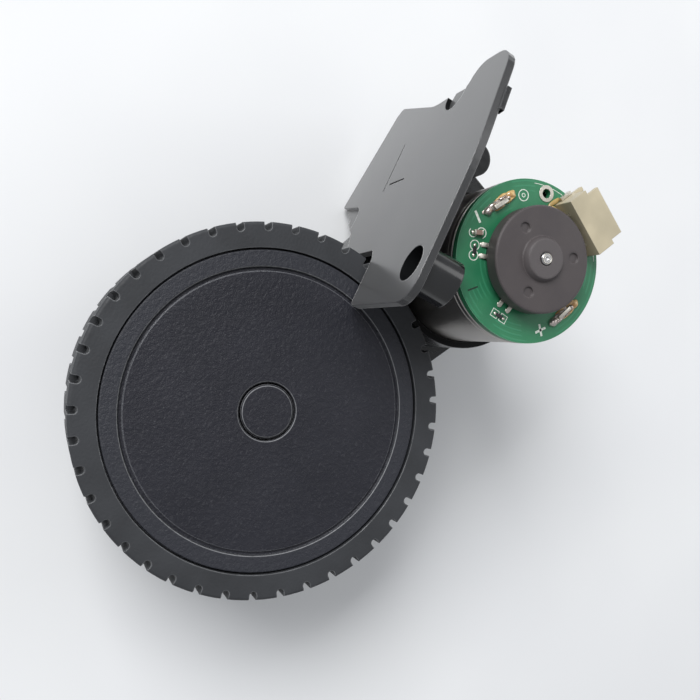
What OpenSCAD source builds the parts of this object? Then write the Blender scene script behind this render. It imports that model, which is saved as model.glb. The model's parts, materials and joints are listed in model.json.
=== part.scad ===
// Drive wheel module of a floor robot. A gearbox arm carries the motor and the wheel,
// and hangs on a spring-loaded pivot under a flange that screws into the robot's underside.
// X runs along the flange, Y points out of the robot's underside and Z is the wheel axis.
// The origin is on the wheel axis, in the plane of the gearbox's outer face.

/* [Tyre] */
// Outer radius of the tyre
tyre_r = 33; // [31:0.5:35]
// Width of the tyre
tyre_w = 16.5; // [14:0.5:20]
// Rubber thickness from the rim to the tread
tyre_t = 4.55; // [4:0.05:6]
// Tread blocks in one row
tread_count = 41; // [30:1:48]
// Width of a gap between two tread blocks
notch_w = 1.3; // [0.8:0.1:2]
// Depth of the gaps and of the groove between the two rows
notch_depth = 1.6; // [1:0.1:2.2]
// Width of the groove between the two rows of blocks
groove_w = 1.0; // [0.6:0.1:2]
// Radius of the rounded tread shoulder
shoulder_r = 0.6; // [0.3:0.1:1]
// Direction of one gap of the outer row, in degrees
tread_turn = -70.5; // [-90:0.5:90]

/* [Wheel] */
// Wall thickness of the rim's drum
rim_wall = 2.0; // [1.6:0.1:2.6]
// Thickness of the rim's inner web
rim_web = 2.0; // [1.2:0.1:3]
// Radial ribs of the rim
rim_ribs = 12; // [8:1:12]
// Thickness of the ribs and of the ring between them
rib_t = 1.4; // [1:0.1:1.8]
// Radius of the ring between the ribs
ring_r = 15.7; // [14:0.1:17]
// Radius of the rim's hub
hub_r = 5.5; // [5:0.1:7]
// Thickness of the hub cap
cap_t = 1.3; // [1:0.1:1.8]
// How far the cap sits below the tyre's face
cap_drop = 0.3; // [0.1:0.1:1]
// Gap between the cap and the tyre, seen as a dark seam
cap_seam = 0.3; // [0.1:0.05:0.4]
// Radius of the groove moulded in the cap
cap_groove_r = 24.8; // [20:0.05:26]
// Width of that groove
cap_groove_w = 0.7; // [0.3:0.1:1]
// Depth of that groove
cap_groove_depth = 0.4; // [0.2:0.1:0.7]
// Radius of the plug that covers the wheel screw
plug_r = 4.8; // [4.5:0.05:5.4]
// Gap round the plug
plug_gap = 0.24; // [0.05:0.01:0.3]
// Radius of the circle of the cap's three pegs
peg_circle_r = 21.2; // [20:0.1:22]
// Radius of a cap peg
peg_r = 1.5; // [1:0.1:1.8]
// Length of a cap peg below the cap
peg_l = 6; // [3:0.5:8]
// Radius of the wheel axle
axle_r = 2.5; // [2:0.1:2.8]
// Depth of the flat on the axle
axle_flat = 0.5; // [0.3:0.1:0.8]
// Head radius of the wheel screw
wheel_screw_head_r = 2.8; // [2.4:0.1:3.4]
// Head height of the wheel screw
wheel_screw_head_h = 1.8; // [1.2:0.1:2]
// Shank radius of the wheel screw
wheel_screw_r = 1.25; // [1:0.05:1.3]
// Shank length of the wheel screw
wheel_screw_l = 8; // [5:0.5:10]

/* [Gear train] */
// Pressure angle of every gear
pressure_a = 25; // [20:1:25]
// Backlash between two gears at the pitch circle
backlash = 0.14; // [0.08:0.01:0.2]
// Teeth of every pinion
pinion_teeth = 12; // [12:1:13]
// Tooth module of the motor stage
module_1 = 0.5; // [0.48:0.01:0.52]
// Tooth module of the middle stage
module_2 = 0.6; // [0.58:0.01:0.62]
// Tooth module of the wheel stage
module_3 = 0.8; // [0.78:0.01:0.82]
// Teeth of the first gear
first_teeth = 48; // [46:1:50]
// Teeth of the second gear
second_teeth = 40; // [38:1:42]
// Teeth of the output gear
output_teeth = 34; // [33:1:36]
// Direction from the wheel axis to the second gear, in degrees
second_dir = -24; // [-28:0.5:-20]
// Direction from the second gear to the first gear, in degrees
first_dir = -43.4; // [-46:0.1:-40]
// Direction from the first gear to the motor, in degrees
motor_dir = -27.4; // [-32:0.1:-24]
// Face width of the output gear and of its pinion's free part
gear_w_3 = 3.2; // [2.6:0.1:3.4]
// Face width of the second gear's wheel
gear_w_2 = 3.0; // [2.4:0.1:3.2]
// Face width of the first gear's wheel
gear_w_1 = 2.8; // [2.2:0.1:3]
// Axial gap between two gear levels
level_gap = 0.5; // [0.3:0.05:0.6]
// Radius of the two gear pins
gear_pin_r = 1.0; // [0.8:0.05:1.2]
// Radius of the output gear's hub
output_hub_r = 4.5; // [4:0.1:5]

/* [Gearbox] */
// Thickness of the inboard cover
cover_t = 2.0; // [1.8:0.1:2.4]
// Thickness of the case's outboard wall
case_top_t = 1.8; // [1.5:0.1:2.2]
// Thickness of the case's side walls
case_wall = 1.5; // [1.2:0.1:1.8]
// Room between gear tips and the side wall
tip_room = 0.3; // [0.2:0.05:0.5]
// Extra room round the output gear
output_room = 0.3; // [0:0.05:0.6]
// Room above the uppermost gear
top_room = 1.2; // [1:0.1:1.6]
// Radius of the two supports round the gear pins
pin_boss_r = 2.4; // [1.8:0.1:2.6]
// Radius of the case screws' bosses
screw_boss_r = 2.8; // [2.6:0.1:3]
// Radius of the case screws' heads
case_screw_head_r = 2.2; // [2:0.1:2.4]
// Height of the case screws' heads
case_screw_head_h = 1.1; // [0.9:0.1:1.2]
// Radius of the case screws' shanks
case_screw_r = 1.1; // [0.9:0.05:1.3]
// Length of the case screws' shanks
case_screw_l = 9; // [6:0.5:10]
// Radius of the axle's bearing boss
bearing_boss_r = 6; // [5.5:0.1:6.4]
// Free gap between the case and the wheel
wheel_gap = 0.9; // [0.7:0.1:2]
// Least gap between the tyre and the motor cup
tyre_cup_gap = 0.1; // [0.05:0.05:0.6]
// Clearance of the tyre in the relief cut into the motor cup
cup_relief = 0.5; // [0.3:0.1:0.8]

/* [Motor] */
// Radius of the motor can
can_r = 13.9; // [13.4:0.1:14.2]
// Length of the motor can
can_l = 33.9; // [31:0.1:36]
// Wall thickness of the motor can
can_t = 1.0; // [0.8:0.1:1.2]
// Wall thickness of the cup that holds the motor
cup_wall = 1.25; // [1:0.05:1.4]
// Gap between the can and the cup
cup_gap = 0.15; // [0.05:0.01:0.2]
// Height of the cup above the gearbox
cup_h = 13.4; // [10:0.1:16]
// Radius of the motor shaft
shaft_r = 1.0; // [0.9:0.05:1.1]
// Length of the shaft above the motor's rear rim
shaft_tail = 7.1; // [7:0.1:9]
// Depth of the end cap below the can's rim
end_cap_drop = 0.4; // [0.2:0.1:0.8]
// Thickness of the motor's end cap
end_cap_t = 2.6; // [2.2:0.1:3]
// Radius of the armature
armature_r = 9.3; // [8.5:0.1:9.4]
// Length of the armature's laminated core
armature_l = 15; // [12:0.5:17]
// Thickness of the magnets
magnet_t = 2.9; // [2.4:0.1:3]
// Length of the magnets
magnet_l = 22; // [18:0.5:23]
// Angle that each magnet covers
magnet_arc = 130; // [110:1:150]
// Radius of the commutator
commutator_r = 3.0; // [2.6:0.1:3.2]
// Length of the commutator
commutator_l = 4.5; // [3.5:0.1:5]
// Width and height of a carbon brush
brush_w = 1.8; // [1.4:0.1:2.2]
// Radial length of a carbon brush
brush_l = 1.6; // [1.2:0.1:2]
// Radius of the motor's front screws
motor_screw_r = 1.2; // [1:0.05:1.25]
// Distance of the terminals from the can's bore
terminal_inset = 1.75; // [1.5:0.05:2]
// Width of a terminal
terminal_w = 3.6; // [3:0.1:4]
// Thickness of a terminal
terminal_t = 0.5; // [0.3:0.1:0.6]

/* [Encoder] */
// Radius of the encoder board
board_r = 14.0; // [13.5:0.1:14.2]
// Thickness of the encoder board
board_t = 1.2; // [1:0.1:1.6]
// Gap between the motor's rim and the board
board_gap = 0.5; // [0.3:0.1:1]
// Radius of the magnet disc
disc_r = 9.0; // [8:0.1:9.6]
// Thickness of the magnet disc
disc_t = 3.0; // [2:0.1:3.4]
// Gap between the board and the disc
disc_gap = 1.1; // [1.1:0.1:2]
// Radius of the disc's hub at its top
disc_hub_r = 3.3; // [2.6:0.1:3.6]
// Height of the disc's hub
disc_hub_h = 1.0; // [0.6:0.1:1.4]
// Width of the connector shell
plug_shell_w = 10.5; // [10:0.1:12]
// Depth of the connector shell
plug_shell_d = 6.0; // [5.6:0.1:7]
// Height of the connector shell
plug_shell_h = 4.5; // [4.2:0.1:5]
// Wall thickness of the connector shell
plug_shell_t = 0.7; // [0.5:0.05:0.8]
// Pitch of the connector's contacts
contact_pitch = 2.0; // [1.8:0.05:2.1]
// Number of contacts
contact_count = 4; // [2:1:4]
// Length of the large chip
chip_l = 1.6; // [1.4:0.1:2]
// Length of the small chips
small_chip_l = 1.1; // [1:0.05:1.3]
// Width of a magnet sensor
sensor_w = 2.9; // [2.6:0.1:3.1]
// Height of a magnet sensor
sensor_h = 0.8; // [0.6:0.1:0.8]

/* [Flange] */
// Height of the flange's face below the wheel axis
flange_drop = 5.1; // [4.8:0.1:6]
// Thickness of the flange
flange_t = 1.4; // [1.2:0.1:1.8]
// Where the flange starts along X
flange_x0 = 23.3; // [21:0.1:25]
// Where the flange ends along X
flange_x1 = 71; // [70:0.5:75]
// Height of the flange's outboard edge above the tyre's face
flange_over = 25; // [23:0.1:28]
// Gap between the tyre and the flange's wheel cut-out
cutout_gap = 1.6; // [1.2:0.1:3]
// Gap between the tyre's face and the flange's strip over it
strip_gap = 1.0; // [0.8:0.1:3]
// Lowest corner of the flange's ear, along Z
ear_z = 0.8; // [0.4:0.1:2]
// Radius of the screw well in the flange
well_r = 3.15; // [2.8:0.05:3.4]
// Wall thickness of the screw well
well_wall = 0.9; // [0.7:0.05:1.1]
// Depth of the screw well below the flange's face
well_depth = 7.5; // [5:0.1:7.5]
// Thickness of the screw well's floor
well_floor = 1.6; // [1.2:0.1:2]
// Radius of the screw holes in the flange
screw_hole_r = 1.7; // [1.4:0.05:1.8]
// Radius of the two open screw seats
seat_r = 3.3; // [2.8:0.1:3.4]
// Depth of the two open screw seats
seat_depth = 0.9; // [0.8:0.1:1.2]
// Floor thickness of the two open screw seats
seat_floor = 1.4; // [1.1:0.1:1.6]
// How far a seat's floor runs out beyond its centre
seat_lip = 1.5; // [1:0.1:2.4]
// Wall round the two open screw seats
seat_wall = 1.0; // [0.8:0.1:1]

/* [Suspension] */
// Distance along X from the motor to the pivot
pivot_reach = 15.45; // [15:0.05:18]
// Depth of the pivot below the flange's back
pivot_depth = 6.3; // [5.6:0.1:6.6]
// Radius of the pivot pin
pivot_pin_r = 1.5; // [1.2:0.05:1.6]
// Radius of the rounded lug ends
lug_r = 3.2; // [2.9:0.1:3.4]
// Thickness of the lugs
lug_t = 4.2; // [3:0.1:5]
// Width of a lug at the flange
lug_root_w = 10; // [8:0.5:12]
// Radius of the arm's pivot barrel
barrel_r = 4.0; // [3.8:0.1:4.2]
// Length of the arm's pivot barrel
barrel_l = 10.4; // [9:0.1:10.4]
// Wire radius of the suspension spring
spring_wire_r = 0.45; // [0.3:0.05:0.5]
// Turns of the suspension spring
spring_turns = 5; // [3:1:5]
// Gap between the stop pad and the motor cup at rest
stop_gap = 0.3; // [0.2:0.05:0.5]

/* [Fits] */
// Radial running clearance of pins and journals
run_fit = 0.05; // [0.03:0.01:0.08]
// Clearance between pieces that are pressed or glued together
seat_fit = 0.02; // [0.01:0.01:0.04]
// Axial play of turning pieces
end_play = 0.2; // [0.1:0.05:0.3]

/* [Hidden] */
$fn = 96;

// Levels of the gears, from the cover upwards
level_3 = cover_t + 0.6;
level_2 = level_3 + gear_w_3 + level_gap;
level_1 = level_2 + gear_w_2 + level_gap;
case_roof = level_1 + gear_w_1 + top_room;
case_h = case_roof + case_top_t;
pin_z0 = cover_t * 0.4;
pin_z1 = case_roof + case_top_t * 0.6;

// Centres of the train, chained from the wheel axis. A tyre that would reach the motor
// cup gets an output gear with more teeth, which moves the motor away.
cup_bore_r = can_r + cup_gap;
cup_r = cup_bore_r + cup_wall;
dist_2 = module_2 * (second_teeth + pinion_teeth) / 2;
dist_1 = module_1 * (first_teeth + pinion_teeth) / 2;
least_reach = tyre_r + tyre_cup_gap + cup_r;
rest_of_train = polar(dist_2, first_dir) + polar(dist_1, motor_dir);
along = rest_of_train * polar(1, second_dir);
least_dist_3 = sqrt(along * along + least_reach * least_reach - rest_of_train * rest_of_train) - along;
output_count = max(output_teeth, ceil(2 * least_dist_3 / module_3) - pinion_teeth);
dist_3 = module_3 * (output_count + pinion_teeth) / 2;
wheel_pos = [0, 0];
second_pos = wheel_pos + polar(dist_3, second_dir);
first_pos = second_pos + polar(dist_2, first_dir);
motor_pos = first_pos + polar(dist_1, motor_dir);

// Turn of each gear at rest, so that the teeth are in mesh
output_turn = 0;
second_pinion_turn = mesh_turn(second_dir, output_turn, output_count, pinion_teeth);
second_turn = second_pinion_turn;
first_pinion_turn = mesh_turn(first_dir, second_turn, second_teeth, pinion_teeth);
first_turn = first_pinion_turn;
motor_turn = mesh_turn(motor_dir, first_turn, first_teeth, pinion_teeth);

// Outline radii of the gearbox round each centre
root_clear = 0.25;
output_tip_r = module_3 * (output_count / 2 + 1);
second_tip_r = module_2 * (second_teeth / 2 + 1);
first_tip_r = module_1 * (first_teeth / 2 + 1);
output_room_r = output_tip_r + tip_room + output_room;
second_room_r = second_tip_r + tip_room;
first_room_r = first_tip_r + tip_room;
motor_room_r = cup_r - case_wall;

// Heights of the wheel
tyre_z0 = case_h + wheel_gap;
tyre_z1 = tyre_z0 + tyre_w;
rim_r = tyre_r - tyre_t;
rim_z0 = tyre_z0 + 0.4;
cap_z1 = tyre_z1 - cap_drop;
rim_z1 = cap_z1 - cap_t;
axle_z0 = cover_t * 0.35;
axle_z1 = rim_z1 - wheel_screw_head_h - 0.5;
bush_wall = 1.3;
bush_flange_t = 0.6;
bearing_z0 = level_2 + gear_w_2 + level_gap + 0.1;
bearing_z1 = case_h + 0.2;
output_hub_z1 = bearing_z0 - end_play;

// Heights of the motor and the encoder
can_z0 = case_h;
can_z1 = can_z0 + can_l;
end_cap_z1 = can_z1 - end_cap_drop;
end_cap_z0 = end_cap_z1 - end_cap_t;
board_z0 = can_z1 + board_gap;
board_z1 = board_z0 + board_t;
disc_z0 = board_z1 + disc_gap;
disc_z1 = disc_z0 + disc_t;
shaft_z1 = can_z1 + shaft_tail;
shaft_z0 = level_1 - 0.8;
pinion_z0 = level_1 - 0.4;
pinion_z1 = level_1 + gear_w_1 + 0.4;
front_bush_l = 3.4;
motor_bush_r = 2.6;
armature_z0 = can_z0 + front_bush_l + 3.2;
armature_z1 = armature_z0 + armature_l;
winding_h = 2.4;
commutator_z0 = armature_z1 + winding_h + 0.3;
can_bore_r = can_r - can_t;
can_front_t = 1.2;
motor_screw_circle_r = 8;
motor_screw_head_r = 2.0;
motor_screw_bite = 1.0;
terminal_circle_r = can_bore_r - terminal_inset;
terminal_turns = [58.8, 244.5];

// Places on the board, from the motor axis
hole_pos = [11.95, 2.15];
connector_pos = [11.1, -6.3];
connector_turn = -28.8;
plated_hole_r = 0.8;
plated_ring_r = 1.45;
sensor_circle_r = 7.8;
sensor_turns = [107, 174.3];

// Case screws: three inside, round the motor, and three in ears round the wheel end
line_dir = atan2(motor_pos[1], motor_pos[0]);
screw_angle = 66;
ear_turns = [-70, 0, 75];
inner_screw_circle_r = motor_room_r - screw_boss_r + 0.6;
ear_screw_circle_r = output_room_r + case_wall + case_screw_head_r;
screw_spots = concat(
    [for (a = [-screw_angle, 0, screw_angle]) motor_pos + polar(inner_screw_circle_r, line_dir + a)],
    [for (a = ear_turns) wheel_pos + polar(ear_screw_circle_r, line_dir + 180 + a)]
);
ear_wall = 1.0;
ear_r = case_screw_head_r + ear_wall;

// Flange
flange_y = -flange_drop;
flange_back = flange_y - flange_t;
flange_z1 = tyre_z1 + flange_over;
cutout_x = tyre_r + cutout_gap;
strip_z = tyre_z1 + strip_gap;
corner_steps = 6;
well_x = flange_x0 + well_r + well_wall + 2.9;
well_z = flange_z1 - well_r - well_wall - 1.05;
seat_spots = [[flange_x1 - 4.7, strip_z + 4], [motor_pos[0] + 2.4, ear_z + 9.4]];
seat_out_dirs = [0, 210.5];
flange_corners = [
    [flange_x0, strip_z, 1.2],
    [flange_x0, flange_z1, 4],
    [flange_x0 + 27, flange_z1, 50],
    [flange_x1, flange_z1 - 4.3, 5.5],
    [flange_x1, strip_z + 8.6, 4],
    [flange_x1 - 4, strip_z + 7.6, 0.7],
    [flange_x1 - 4.9, strip_z - 4.5, 14],
    [flange_x1 + 0.3, ear_z + 9.6, 1.5],
    [flange_x1 - 1.2, ear_z + 7.9, 1],
    [motor_pos[0] + 7.1, ear_z, 1],
    [motor_pos[0] - 1.2, ear_z + 13.8, 3],
    [cutout_x, ear_z + 18, 2],
    [cutout_x, strip_z - 1.5, 1],
    [cutout_x - 2, strip_z, 1]
];

// Pivot, from the plate downwards and from the outboard lug inwards
pivot_pos = [motor_pos[0] + pivot_reach, flange_back - pivot_depth];
barrel_z0 = can_z0 + 2.8;
barrel_z1 = barrel_z0 + barrel_l;
pivot_flange_t = 0.5;
spring_l = spring_turns * 2 * spring_wire_r + 0.5;
clip_t = 0.6;
clip_z = barrel_z0 - pivot_flange_t - end_play - clip_t;
lug_low_z1 = clip_z - 0.1;
lug_low_z0 = lug_low_z1 - lug_t;
spring_z0 = barrel_z1 + pivot_flange_t + end_play + spring_wire_r;
spring_z1 = spring_z0 + spring_l;
lug_high_z0 = spring_z1 + spring_wire_r + 0.4;
lug_high_z1 = lug_high_z0 + lug_t;
lug_cap_t = 0.8;
pin_head_r = 2.5;
pin_head_h = 1.0;
pin_z_high = lug_high_z1 - lug_cap_t - 0.1;
pin_groove_r = pivot_pin_r - 0.35;
pivot_bush_r = pivot_pin_r + run_fit + 0.85;
pivot_flange_r = 3.2;
spring_r = pivot_pin_r + spring_wire_r + 0.9;
spring_start = 200;
spring_end = 0;
spring_foot_l = 2.6;
spring_foot = pivot_pos + polar(spring_r, spring_start) + polar(spring_foot_l, spring_start - 90);

// Point at distance r and direction a
function polar(r, a) = r * [cos(a), sin(a)];

// Involute function of an angle, in degrees
function involute(a) = tan(a) * 180 / PI - a;

// Half of a tooth's angular width at radius r
function half_tooth(r, m, teeth) =
    let (pitch_r = m * teeth / 2, base_r = pitch_r * cos(pressure_a))
    90 / teeth - backlash / 4 / pitch_r * 180 / PI
    + involute(pressure_a) - involute(acos(min(1, base_r / r)));

// Turn of gear b that meshes with gear a, seen in direction dir from a to b
function mesh_turn(dir, turn_a, teeth_a, teeth_b) =
    dir + 180 + ((dir - turn_a) * teeth_a / 360 - 0.5) * 360 / teeth_b;

// Outline of an involute gear
function gear_points(m, teeth) =
    let (
        pitch_r = m * teeth / 2,
        base_r = pitch_r * cos(pressure_a),
        tip_r = pitch_r + m,
        root_r = pitch_r - m * (1 + root_clear),
        start_r = max(base_r, root_r),
        flank = [for (k = [0:4]) start_r + (tip_r - start_r) * k / 4],
        foot = half_tooth(start_r, m, teeth)
    )
    [for (i = [0:teeth - 1]) let (a = i * 360 / teeth) each concat(
        [polar(root_r, a - foot)],
        [for (r = flank) polar(r, a - half_tooth(r, m, teeth))],
        [for (k = [4:-1:0]) polar(flank[k], a + half_tooth(flank[k], m, teeth))],
        [polar(root_r, a + foot)]
    )];

// Points of an arc that rounds the corner q between p and s
function rounded(p, q, s, r) =
    let (
        u = (p - q) / norm(p - q),
        v = (s - q) / norm(s - q),
        half = acos(u * v) / 2,
        mid = q + (u + v) / norm(u + v) * r / sin(half),
        from = q + u * r / tan(half) - mid,
        to = q + v * r / tan(half) - mid,
        a0 = atan2(from[1], from[0]),
        turn = (atan2(to[1], to[0]) - a0 + 540) % 360 - 180
    )
    [for (k = [0:corner_steps]) mid + polar(r, a0 + turn * k / corner_steps)];

// Outline with rounded corners from a list of [x, y, radius]
function rounded_outline(c) =
    [for (i = [0:len(c) - 1]) let (
        n = len(c),
        p = c[(i + n - 1) % n],
        q = c[i],
        s = c[(i + 1) % n]
    ) each rounded([p[0], p[1]], [q[0], q[1]], [s[0], s[1]], q[2])];

// Involute gear at a place, turned into mesh
module gear(pos, m, teeth, turn, z, h) {
    translate([pos[0], pos[1], z]) rotate(turn)
    linear_extrude(h) polygon(gear_points(m, teeth));
}

// Upright cylinder at a place
module post(pos, r, z0, z1) {
    translate([pos[0], pos[1], z0]) cylinder(h = z1 - z0, r = r);
}

// Upright tube at a place
module tube(pos, r, bore, z0, z1) {
    difference() {
        post(pos, r, z0, z1);
        post(pos, bore, z0 - 1, z1 + 1);
    }
}

// Flat belt round two circles. Its straight sides start just inside the circles,
// so that they cross them cleanly instead of touching at one point.
module belt(p, rp, q, rq) {
    inside = 0.02;
    d = norm(q - p);
    dir = atan2(q[1] - p[1], q[0] - p[0]);
    lean = acos((rp - rq) / d);
    translate(p) circle(rp);
    translate(q) circle(rq);
    polygon([
        p + polar(rp - inside, dir + lean), q + polar(rq - inside, dir + lean),
        q + polar(rq - inside, dir - lean), p + polar(rp - inside, dir - lean)
    ]);
}

// Shape of a shaft end with one flat
module flatted(r, flat) {
    difference() {
        circle(r);
        translate([r - flat, -r]) square([2 * r, 2 * r]);
    }
}

// Outline of the gearbox, smaller all round by inset
module case_outline(inset) {
    w = case_wall - inset;
    belt(wheel_pos, output_room_r + w, second_pos, second_room_r + w);
    belt(second_pos, second_room_r + w, first_pos, first_room_r + w);
    belt(first_pos, first_room_r + w, motor_pos, motor_room_r + w);
}

// Ears of the gearbox that hold the screws at the wheel end
module case_ears() {
    for (i = [3:5]) {
        belt(screw_spots[i], ear_r, wheel_pos, ear_r);
    }
}

// Tube swept along a path of points, closed at both ends
module swept(path, r, sides) {
    n = len(path);
    function heading(i) =
        let (v = path[min(i + 1, n - 1)] - path[max(i - 1, 0)]) v / norm(v);
    rings = [for (i = [0:n - 1]) let (
        t = heading(i),
        side = cross(t, [0.13, 0.21, 1]),
        u = side / norm(side),
        v = cross(t, u)
    ) [for (k = [0:sides - 1]) path[i] + r * (cos(360 * k / sides) * u + sin(360 * k / sides) * v)]];
    points = [for (ring = rings) each ring];
    skin = [for (i = [0:n - 2]) for (k = [0:sides - 1]) let (
        a = i * sides + k,
        b = i * sides + (k + 1) % sides
    ) each [[b + sides, b, a], [a + sides, b + sides, a]]];
    ends = [
        [for (k = [0:sides - 1]) k],
        [for (k = [sides - 1:-1:0]) (n - 1) * sides + k]
    ];
    polyhedron(points, concat(skin, ends));
}

// Extrudes a shape drawn in X and Z through the flange, from y0 down by depth
module flange_slab(y0, depth) {
    translate([0, y0, 0]) rotate([90, 0, 0]) linear_extrude(depth) children();
}

// Pivot lug with a bore for the pin between two levels
module lug(z0, z1, bore_z0, bore_z1) {
    difference() {
        translate([0, 0, z0]) linear_extrude(z1 - z0) {
            translate(pivot_pos) circle(lug_r);
            polygon([
                [pivot_pos[0] - lug_root_w / 2, flange_back + 0.1],
                [pivot_pos[0] + lug_root_w / 2, flange_back + 0.1],
                [pivot_pos[0] + lug_root_w / 2, flange_back - 0.6],
                [pivot_pos[0] + lug_r, pivot_pos[1]],
                [pivot_pos[0] - lug_r, pivot_pos[1]],
                [pivot_pos[0] - lug_root_w / 2, flange_back - 0.6]
            ]);
        }
        post(pivot_pos, pivot_pin_r + seat_fit, bore_z0, bore_z1);
    }
}

// Shape of one open seat's floor, which runs out over the flange's edge
module seat_tab(i) {
    translate(seat_spots[i]) rotate(seat_out_dirs[i]) intersection() {
        circle(seat_r - 0.15);
        translate([-seat_r, -seat_r]) square([seat_r + seat_lip, 2 * seat_r]);
    }
}

// Shapes of the two open seats, the inboard one with a channel to the ear's corner
module seat_shapes(r) {
    for (s = seat_spots) translate(s) circle(r);
    translate(seat_spots[1]) rotate(8) translate([0, -12]) square([r - 0.02, 12]);
}

// Plate under the robot with a screw well, two open screw seats and two pivot lugs
module flange_plate() {
    rib_depth = 1.2;
    rib_w = 1.2;
    pad_depth = 0.7;
    score = 0.3;
    arrow_x = flange_x1 - 11.6;
    arrow_z = strip_z - 11.5;
    color([0.06, 0.06, 0.065]) {
        difference() {
            union() {
                flange_slab(flange_y, flange_t) polygon(rounded_outline(flange_corners));
                // screw well
                flange_slab(flange_y, well_depth) translate([well_x, well_z]) circle(well_r + well_wall);
                // pads of the open seats, inside the outline
                flange_slab(flange_y, seat_depth + seat_floor) intersection() {
                    polygon(rounded_outline(flange_corners));
                    seat_shapes(seat_r + seat_wall);
                }
                for (i = [0, 1]) flange_slab(flange_y - 0.3, seat_depth + seat_floor - 0.3) seat_tab(i);
                // stiffening ribs on the back
                flange_slab(flange_back + 0.1, rib_depth + 0.1) {
                    translate([well_x, strip_z + 4]) square([pivot_pos[0] - well_x, rib_w]);
                    translate([pivot_pos[0] + 4, lug_low_z0]) square([rib_w, lug_high_z1 - lug_low_z0]);
                }
                // locating pad under the outboard edge
                flange_slab(flange_back + 0.1, pad_depth + 0.1)
                translate([pivot_pos[0] + 1.3, flange_z1 - 2.7]) rotate(-11) square([4.6, 1.4]);
            }
            flange_slab(flange_y + 1, well_depth - well_floor + 1) translate([well_x, well_z]) circle(well_r);
            flange_slab(flange_y + 1, well_depth + 2) translate([well_x, well_z]) circle(screw_hole_r);
            flange_slab(flange_y + 1, seat_depth + 1) seat_shapes(seat_r);
            // two scored lines on the face
            flange_slab(flange_y + 1, 1 + score) translate([arrow_x - 10.8, arrow_z]) square([10.8, score]);
            flange_slab(flange_y + 1, 1 + score) translate([arrow_x - 9.6, arrow_z + 2]) square([score, 6.6]);
        }
        lug(lug_low_z0, lug_low_z1, lug_low_z0 - 1, lug_low_z1 + 1);
        lug(lug_high_z0, lug_high_z1, lug_high_z0 - 1, lug_high_z1 - lug_cap_t);
    }
}

module pivot_pin() {
    color([0.72, 0.73, 0.75]) {
        difference() {
            post(pivot_pos, pivot_pin_r, lug_low_z0 - 0.1, pin_z_high);
            tube(pivot_pos, pivot_pin_r + 1, pin_groove_r, clip_z - 0.05, clip_z + clip_t + 0.05);
        }
        post(pivot_pos, pin_head_r, lug_low_z0 - pin_head_h, lug_low_z0);
    }
}

module pivot_clip() {
    color([0.3, 0.3, 0.32])
    translate([pivot_pos[0], pivot_pos[1], clip_z]) linear_extrude(clip_t) difference() {
        circle(pivot_pin_r + 1.5);
        circle(pin_groove_r + seat_fit);
        translate([0, -pin_groove_r * 0.8]) square([4, pin_groove_r * 1.6]);
        for (a = [-60, 60]) rotate(180 + a) translate([pin_groove_r + 0.75, 0]) circle(0.45, $fn = 24);
    }
}

module suspension_spring() {
    sweep = spring_turns * 360 + spring_end - spring_start;
    steps = ceil(sweep / 18);
    coil = [for (i = [0:steps]) let (
        p = pivot_pos + polar(spring_r, spring_start + i * sweep / steps)
    ) [p[0], p[1], spring_z0 + i * spring_l / steps]];
    bend = spring_foot + polar(0.5, spring_start + 90);
    leg_x = pivot_pos[0] + spring_r;
    leg_y = flange_back - spring_wire_r - seat_fit;
    color([0.78, 0.79, 0.8]) swept(concat(
        [[spring_foot[0], spring_foot[1], spring_z0 - 2.4],
        [spring_foot[0], spring_foot[1], spring_z0 - 0.8],
        [bend[0], bend[1], spring_z0]],
        coil,
        [[leg_x, leg_y - 1.3, spring_z1],
        [leg_x - 0.4, leg_y - 0.4, spring_z1],
        [leg_x - 1.3, leg_y, spring_z1],
        [leg_x - 4, leg_y, spring_z1]]
    ), spring_wire_r, 8);
}

module stop_pad() {
    pad_w = 7;
    pad_l = 8;
    pad_y = motor_pos[1] + cup_r + stop_gap;
    color([0.1, 0.1, 0.1])
    translate([motor_pos[0] - pad_w / 2, pad_y, can_z0 + 3]) cube([pad_w, flange_back - pad_y, pad_l]);
}

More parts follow.
